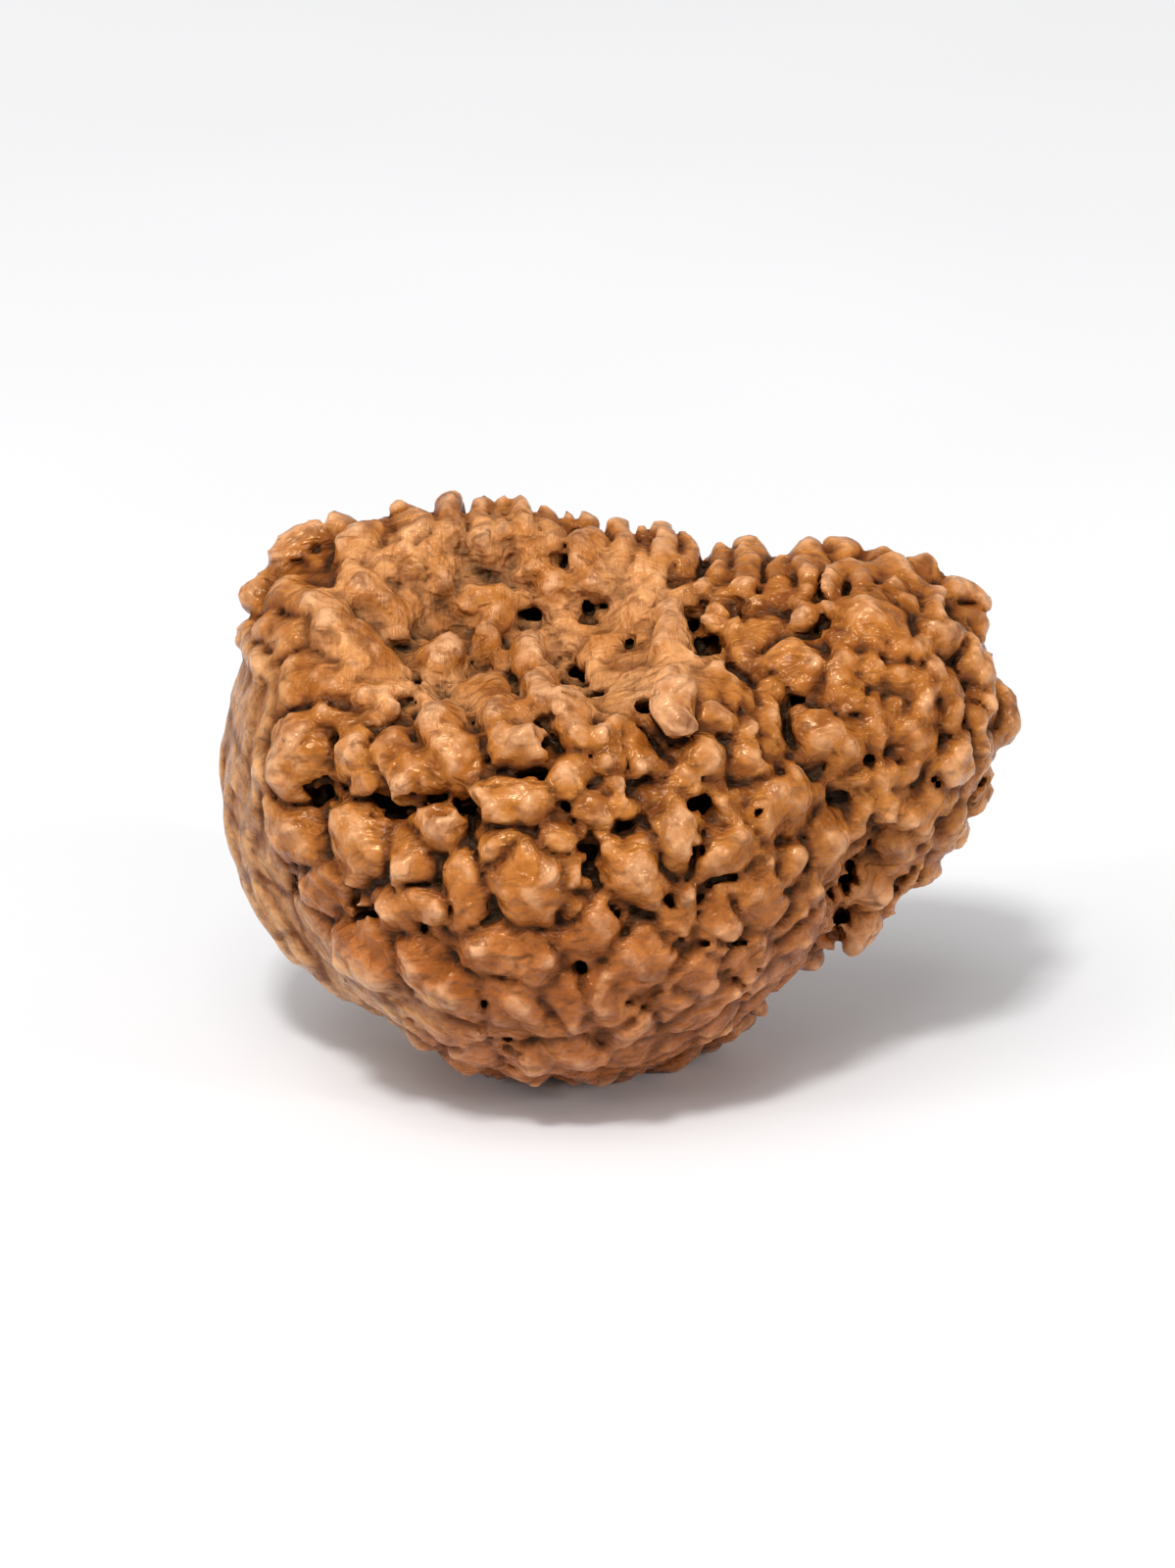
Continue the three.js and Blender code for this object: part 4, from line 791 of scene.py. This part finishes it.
def cut_seams(d, q, gap):
    """Cuts a narrow seam along the furrow between two knobs, deeper in some places than in others."""
    band = (np.abs(d) < SKIN_BAND) & (gap < SEAM_WIDTH)
    near = q[band]
    seam = 1 - ramp(gap[band], 0, SEAM_WIDTH)
    sway = 1 - SEAM_SWAY + SEAM_SWAY * slow_wave(near * SEAM_SWAY_PITCH)
    share = (1 - SEAM_FLANK_LACK * flank(near)) * (1 - SEAM_BASIN_LACK * basin_share(near))
    d[band] += SEAM_DEPTH * seam * sway * share


def box_round(points, pad, step):
    """The slices of the grid that hold the points and a margin round them."""
    low = np.maximum(((np.min(points, axis=0) - pad - BOX_LOW) / step).astype(int), 0)
    high = ((np.max(points, axis=0) + pad - BOX_LOW) / step).astype(int) + 2
    return tuple(slice(low[k], high[k]) for k in range(3))


def stamp(d, q, step, rods, join, blend):
    """Joins rods to the grid, each only in the box that it can reach."""
    for rod in rods:
        a, b, ra, rb = rod
        part = box_round([a, b], max(ra, rb) + blend + STAMP_MARGIN, step)
        d[part] = join(d[part], rod_distance(q[part], rod), blend)


def grooved_join(a, b, width):
    """Joins two forms with a narrow groove along the line where they meet."""
    near = np.maximum(width - np.abs(a - b), 0) / width
    return np.minimum(a, b) + near * near * GROOVE_DEPTH


def cell_levels(q, step, rods):
    """How far each knob's cell is raised, less so at the furrow beside it, and how near that furrow is."""
    first = np.full(q.shape[:-1], FURROW_REACH)
    second = first.copy()
    level = np.zeros(q.shape[:-1])
    next_level = level.copy()
    for a, b, ra, rb in rods:
        part = box_round([a, b], max(ra, rb) + FURROW_REACH, step)
        near = rod_distance(q[part], (a, b, ra, rb))
        top = min(CELL_LEVEL * max(body(a) + ra, body(b) + rb), CELL_HIGHEST)
        closest = near < first[part]
        close = near < second[part]
        next_level[part] = np.where(closest, level[part], np.where(close, top, next_level[part]))
        second[part] = np.where(closest, first[part], np.where(close, near, second[part]))
        level[part] = np.where(closest, top, level[part])
        first[part] = np.minimum(first[part], near)
    gap = np.where(first < SEAM_REACH, second - first, FURROW_REACH)
    t = np.clip((second - first) / FURROW_WIDTH, 0, 1)
    crown = t * (2 - t)
    furrow = FURROW_LEVEL * np.minimum(level, next_level)
    height = (level * crown + furrow * (1 - crown)) * (1 - ramp(first, CELL_EDGE, CELL_REACH))
    return height - FURROW_DEPTH * (1 - crown), gap


def seed_grid(step):
    """The skin's signed distance on the grid, and the bare body's."""
    size = np.ceil((BOX_HIGH - BOX_LOW) / step).astype(int)
    axes = [BOX_LOW[k] + step * np.arange(size[k]) for k in range(3)]
    p = np.stack(np.meshgrid(*axes, indexing="ij"), -1)
    q = bend(p)
    bare = body(q)
    d = ground(q)
    stand = np.full(d.shape, FURROW_REACH)
    low = stand.copy()
    knobs = knob_rods(KNOBS) + large_knob_rods()
    hollows = hollow_rods(HOLLOWS)
    clefts = cleft_rods(CLEFTS)
    small = small_knob_rods(knobs, hollows + clefts)
    levels, gap = cell_levels(q, step, knobs + small)
    d -= relief_share(q) * levels + LOW_FILL * low_front(q)
    knobs += knob_rods(FINE_KNOBS)
    stamp(low, q, step, small, smooth_join, SMALL_BLEND)
    d = smooth_join(d, low, SMALL_BLEND)
    stamp(d, ragged(q), step, hollows + hollow_rods(FINE_HOLLOWS), smooth_cut, HOLLOW_BLEND)
    stamp(stand, q, step, knobs, grooved_join, GROOVE_WIDTH)
    d = smooth_join(d, stand, KNOB_BLEND)
    stamp(d, ragged(q), step, clefts + cleft_rods(FINE_CLEFTS), smooth_cut, CLEFT_BLEND)
    add_fine_relief(d, bare, q)
    cut_seams(d, q, gap)
    stamp(d, q, step, crease_rods(CREASES), smooth_cut, CREASE_BLEND)
    return np.maximum(d, -to_seed_frame(p)[..., 2]), bare, gap


def corner(grid, offset):
    """The grid's values at one corner of every cell."""
    part = tuple(slice(o, n - 1 + o) for o, n in zip(offset, grid.shape))
    return grid[part]


def close_pinches(d):
    """Fills grid points until no two solid cells meet only along an edge."""
    changed = True
    while changed:
        changed = False
        for axis in range(3):
            flat = np.moveaxis(d, axis, 0)
            rows, lines = flat.shape[1] - 1, flat.shape[2] - 1
            quarters = [flat[:, s:rows + s, t:lines + t] for s, t in np.ndindex(2, 2)]
            a, b, c, e = (part < 0 for part in quarters)
            pinch = (a == e) & (b == c) & (a != b)
            changed = changed or pinch.any()
            for part in quarters:
                part[pinch] = np.minimum(part[pinch], PINCH_FILL)


def net_vertices(d, step):
    """One vertex in each cell that the skin crosses, in the middle of its crossings, and the cells' list."""
    offsets = list(np.ndindex(2, 2, 2))
    inside = sum((corner(d, o) < 0).astype(np.int8) for o in offsets)
    cell = np.argwhere((inside > 0) & (inside < 8))
    values = {o: d[tuple((cell + o).T)] for o in offsets}
    total = np.zeros((len(cell), 3))
    crossings = np.zeros(len(cell))
    for a in offsets:
        for axis in range(3):
            if a[axis]:
                continue
            b = tuple(1 if k == axis else a[k] for k in range(3))
            va, vb = values[a], values[b]
            hit = (va < 0) != (vb < 0)
            t = np.where(hit, va / np.where(hit, va - vb, 1), 0)
            place = np.array(a, float) + t[:, None] * np.eye(3)[axis]
            total += np.where(hit[:, None], place, 0)
            crossings += hit
    number = np.full(d.shape, -1, np.int64)
    number[tuple(cell.T)] = np.arange(len(cell))
    return BOX_LOW + (cell + total / crossings[:, None]) * step, number


def net_triangles(d, number, vertices):
    """Two triangles for each grid edge that the skin crosses, split along the shorter diagonal."""
    solid = d < 0
    triangles = []
    for axis in range(3):
        edge = np.argwhere(np.diff(solid, axis=axis))
        side, up = np.eye(3, dtype=int)[[(axis + 1) % 3, (axis + 2) % 3]]
        ring = np.stack([number[tuple((edge - s).T)] for s in (side + up, up, 0 * up, side)], -1)
        outward = solid[tuple(edge.T)]
        ring[~outward] = ring[~outward][:, ::-1]
        p = vertices[ring]
        short = np.linalg.norm(p[:, 0] - p[:, 2], axis=1) <= np.linalg.norm(p[:, 1] - p[:, 3], axis=1)
        for rows, corners in ((short, ((0, 1, 2), (0, 2, 3))), (~short, ((1, 2, 3), (1, 3, 0)))):
            triangles += [ring[rows][:, three] for three in corners]
    return np.concatenate(triangles)


def largest_shell(count, triangles):
    """Marks the vertices of the largest connected shell."""
    label = np.arange(count)
    pairs = np.concatenate([triangles[:, [0, 1]], triangles[:, [1, 2]]])
    while True:
        low = np.minimum(label[pairs[:, 0]], label[pairs[:, 1]])
        new = label.copy()
        np.minimum.at(new, pairs[:, 0], low)
        np.minimum.at(new, pairs[:, 1], low)
        new = new[new]
        if (new == label).all():
            break
        label = new
    return label == np.bincount(label).argmax()


def sample(grid, p, step):
    """The grid's value at points, blended between the eight grid points round each."""
    q = (p - BOX_LOW) / step
    low = np.clip(np.floor(q).astype(int), 0, np.array(grid.shape) - 2)
    t = q - low
    value = np.zeros(len(p))
    for o in np.ndindex(2, 2, 2):
        share = np.prod(np.where(np.array(o) == 1, t, 1 - t), axis=1)
        value += share * grid[tuple((low + o).T)]
    return value


def blurred_solid(d, reach, step):
    """The share of solid near each grid point: three box blurs an axis, which come close to a round one."""
    radius = max(1, round(reach / step))
    width = 2 * radius + 1
    out = (d < 0).astype(float)
    for axis in (0, 1, 2) * 3:
        line = np.pad(np.moveaxis(out, axis, 0), [(radius + 1, radius), (0, 0), (0, 0)], mode="edge")
        total = np.cumsum(line, axis=0)
        out = np.moveaxis((total[width:] - total[:-width]) / width, 0, axis)
    return out


def skin_values(vertices, d, bare, gap, step):
    """What the material reads at every vertex."""
    return {
        "rise": sample(bare, vertices, step),
        "crease": sample(blurred_solid(d, CREASE_BLUR, step), vertices, step),
        "hollow": sample(blurred_solid(d, HOLLOW_BLUR, step), vertices, step),
        "seam": sample(gap, vertices, step),
        "lump": cells(bend(vertices), LUMPS),
        "basin": basin_share(vertices),
        "flank": flank(vertices),
        "low": np.clip((-vertices[:, 1] - RED_FALL[0]) / (RED_FALL[1] - RED_FALL[0]), 0, 1),
    }


def add_object(name, data):
    made = bpy.data.objects.new(name, data)
    bpy.context.scene.collection.objects.link(made)
    return made


def make_mesh(name, corners, faces, material):
    mesh = bpy.data.meshes.new(name)
    mesh.from_pydata(corners, [], faces)
    mesh.materials.append(material)
    return mesh


def make_seed():
    step = STEP
    d, bare, gap = seed_grid(step)
    close_pinches(d)
    vertices, number = net_vertices(d, step)
    triangles = net_triangles(d, number, vertices)
    kept = largest_shell(len(vertices), triangles)
    renumber = np.cumsum(kept) - 1
    triangles = renumber[triangles[kept[triangles].all(axis=1)]]
    vertices = vertices[kept]
    points = to_seed_frame(vertices)
    points[points[:, 2] < FLAT_SNAP, 2] = 0
    mesh = make_mesh("seed_skin", (points * MM).tolist(), triangles.tolist(), seed_material())
    for name, values in skin_values(vertices, d, bare, gap, step).items():
        layer = mesh.attributes.new(name, "FLOAT", "POINT")
        layer.data.foreach_set("value", values.astype(np.float32))
    mesh.shade_smooth()
    return add_object("seed_skin", mesh)


def srgb(colour):
    """A colour as the eye sees it, from 0 to 255, in linear light."""
    parts = [c / 255 for c in colour]
    linear = [c / 12.92 if c <= 0.04045 else ((c + 0.055) / 1.055) ** 2.4 for c in parts]
    return (*linear, 1.0)


class Graph:
    """Short calls that add and link the nodes of one material."""

    def __init__(self, name):
        self.material = bpy.data.materials.new(name)
        self.material.use_nodes = True
        self.tree = self.material.node_tree
        self.shader = self.tree.nodes["Principled BSDF"]

    def node(self, kind, links=(), **settings):
        made = self.tree.nodes.new(kind)
        for key, value in settings.items():
            setattr(made, key, value)
        for socket, value in dict(links).items():
            self.put(made.inputs[socket], value)
        return made

    def put(self, socket, value):
        if isinstance(value, bpy.types.NodeSocket):
            self.tree.links.new(value, socket)
        else:
            socket.default_value = value

    def set(self, name, value):
        self.put(self.shader.inputs[name], value)

    def value(self, name):
        return self.node("ShaderNodeAttribute", attribute_name=name).outputs["Fac"]

    def noise(self, kind):
        stretch, pitch, detail, rough, bend = kind
        place = self.node("ShaderNodeTexCoord").outputs["Object"]
        scale = tuple(s / MM for s in stretch)
        place = self.node("ShaderNodeMapping", {"Vector": place, "Scale": scale}).outputs["Vector"]
        settings = {"Scale": 1 / pitch, "Detail": detail, "Roughness": rough, "Distortion": bend}
        return self.node("ShaderNodeTexNoise", {"Vector": place, **settings}).outputs["Fac"]

    def map(self, value, low, high, to_low=0.0, to_high=1.0):
        settings = {"Value": value, "From Min": low, "From Max": high, "To Min": to_low, "To Max": to_high}
        return self.node("ShaderNodeMapRange", settings).outputs["Result"]

    def math(self, kind, a, b):
        return self.node("ShaderNodeMath", {0: a, 1: b}, operation=kind).outputs["Value"]

    def add(self, a, b):
        return self.math("ADD", a, b)

    def times(self, a, b):
        return self.math("MULTIPLY", a, b)

    def mix(self, share, a, b):
        sockets = {"Factor": share, MIX_FIRST: a, MIX_SECOND: b}
        return self.node("ShaderNodeMix", sockets, data_type="RGBA").outputs[MIX_RESULT]

    def tint(self, colour, value, layer, share=1.0):
        """Lays a tint over a colour where a value lies in the tint's range."""
        start, full, strength, new = layer
        return self.mix(self.times(self.map(value, start, full, 0.0, strength), share), colour, srgb(new))

    def ramp(self, value, ends, colours):
        made = self.node("ShaderNodeValToRGB", {"Fac": value})
        for point, place, colour in zip(made.color_ramp.elements, ends, colours):
            point.position = place
            point.color = colour
        return made.outputs["Color"]

    def patchy(self, value, pair):
        return self.ramp(value, PATCH_RANGE, [srgb(colour) for colour in pair])


def ground_colour(g, mottle, streaked):
    """Woody tan, redder towards the lower front, paler and yellower in the basin, dull on the flank."""
    basin, flank_share = g.value("basin"), g.value("flank")
    patches = g.noise(PATCHES)
    colour = g.mix(g.value("low"), g.patchy(patches, WARM), g.patchy(patches, RED))
    floor_share = g.times(basin, g.map(g.value("rise"), *PALE_RISE))
    colour = g.mix(floor_share, colour, g.patchy(patches, PALE))
    colour = g.tint(colour, streaked, STREAK_TINT, basin)
    return g.mix(g.times(flank_share, FLANK_DULLNESS), colour, g.patchy(mottle, DULL))


def skin_tints_and_highlight(g, colour, shade, mottle, grain, folds, crepe):
    """Crowns get a painted highlight that makes them paler than the sides of the knobs, and their fine folds
    are a little darker.
    """
    # The crown layer is a painted highlight; mottle, grain and folds are the skin's own tone.
    layers = ((shade, PAINTED_CROWN_HIGHLIGHT), (mottle, MOTTLE_TINT), (grain, GRAIN_TINT), (folds, FOLD_TINT))
    for value, layer in layers:
        colour = g.tint(colour, value, layer)
    return g.tint(colour, crepe, CREPE_TINT, g.map(g.noise(HERE_AND_THERE), *HERE_RANGE))


def painted_shade(g, colour, shade, cavity):
    """Painted shade: dark lines in the seams and between the lumps, and the deeper a place lies, the darker
    it is painted.
    """
    broken = g.map(g.noise(BROKEN), *BROKEN_RANGE)
    shade_share = g.map(g.value("basin"), 0.0, 1.0, 1.0, BASIN_KEEPS)
    # Painted shade along the seams, where the skin lies deep.
    line = g.times(g.times(g.map(cavity, *SEAM_CAVITY), shade_share), broken)
    colour = g.tint(colour, g.value("seam"), PAINTED_SEAM_SHADE, line)
    # Painted shade in the creases between the lumps.
    colour = g.tint(colour, g.value("lump"), PAINTED_LUMP_SHADE, broken)
    # Painted shade, darker the deeper a place lies, weaker in the basin.
    colour = g.tint(colour, shade, PAINTED_FURROW_SHADE, shade_share)
    colour = g.tint(colour, shade, PAINTED_DEEP_SHADE, shade_share)
    return g.tint(colour, shade, PAINTED_DEEPEST_SHADE)


def skin_bump(g, cavity, grain, folds, crepe, streaked):
    height = g.times(folds, g.map(cavity, *FOLD_BUMP))
    height = g.add(height, g.times(crepe, g.map(cavity, *CREPE_BUMP)))
    height = g.add(height, g.times(grain, GRAIN_BUMP))
    height = g.add(height, g.times(streaked, g.times(g.value("basin"), STREAK_BUMP)))
    bump = g.node("ShaderNodeBump", {"Height": height, "Strength": 1.0, "Distance": BUMP_DISTANCE * MM})
    return bump.outputs["Normal"]


def seed_material():
    g = Graph("seed_skin")
    mottle, grain = g.noise(MOTTLE), g.noise(GRAIN)
    folds, crepe, streaked = g.noise(FOLDS), g.noise(CREPE), g.noise(BASIN_STREAKS)
    cavity = g.add(g.times(g.value("hollow"), HOLLOW_SHARE), g.times(g.value("crease"), 1 - HOLLOW_SHARE))
    # How deep a place lies, with some mottle: it sets the painted shade in the hollows and the painted
    # highlight on the crowns.
    shade = g.add(cavity, g.map(mottle, *MOTTLED_SHADE))
    colour = ground_colour(g, mottle, streaked)
    colour = skin_tints_and_highlight(g, colour, shade, mottle, grain, folds, crepe)
    # The base colour carries painted shade in the furrows, seams and pits, and a painted highlight on the
    # crowns.
    g.set("Base Color", painted_shade(g, colour, shade, cavity))
    g.set("Roughness", g.add(g.map(mottle, *GLOSS), g.map(cavity, *CAVITY_GLOSS)))
    g.set("Specular IOR Level", SPECULAR_LEVEL)
    g.set("Specular Tint", SPECULAR_TINT)
    g.set("Coat Weight", COAT_WEIGHT)
    g.set("Coat Roughness", COAT_ROUGHNESS)
    g.set("Normal", skin_bump(g, cavity, grain, folds, crepe, streaked))
    return g.material


def floor_material():
    g = Graph("floor")
    g.set("Base Color", g.ramp(g.noise(FLOOR_PATCHES), FLOOR_RANGE, FLOOR_GREYS))
    g.set("Roughness", FLOOR_ROUGHNESS)
    return g.material


def make_floor():
    corners = [(FLOOR_HALF * x, FLOOR_HALF * y, 0) for x, y in ((-1, -1), (1, -1), (1, 1), (-1, 1))]
    mesh = make_mesh("floor", corners, [(0, 1, 2, 3)], floor_material())
    add_object("floor", mesh)


def in_seed_frame(*place):
    return Vector(to_seed_frame(np.array(place)) * MM)


def look_from(item, place, target):
    item.location = place
    item.rotation_euler = (target - place).to_track_quat("-Z", "Y").to_euler()


def make_camera():
    data = bpy.data.cameras.new("camera")
    data.sensor_width = SENSOR
    data.lens = SENSOR * SIGHT / PICTURE_HEIGHT
    data.clip_start = CLIP_START
    camera = add_object("camera", data)
    look_from(camera, in_seed_frame(0, 0, SIGHT), in_seed_frame(*PICTURE_MIDDLE, 0))
    bpy.context.scene.camera = camera


def make_lights():
    for name, place, size, watts in LIGHTS:
        data = bpy.data.lights.new(name, "AREA")
        data.shape = "RECTANGLE"
        data.size, data.size_y = size
        data.energy = watts
        look_from(add_object(name, data), Vector(place), LIGHT_TARGET)
    world = bpy.data.worlds.new("studio")
    world.use_nodes = True
    sky = world.node_tree.nodes["Background"]
    sky.inputs["Color"].default_value = SKY
    sky.inputs["Strength"].default_value = SKY_STRENGTH
    bpy.context.scene.world = world
    bpy.context.scene.view_settings.view_transform = "Standard"


seed = make_seed()
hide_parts("seed")
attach(seed, "root")
make_floor()
make_lights()
make_camera()
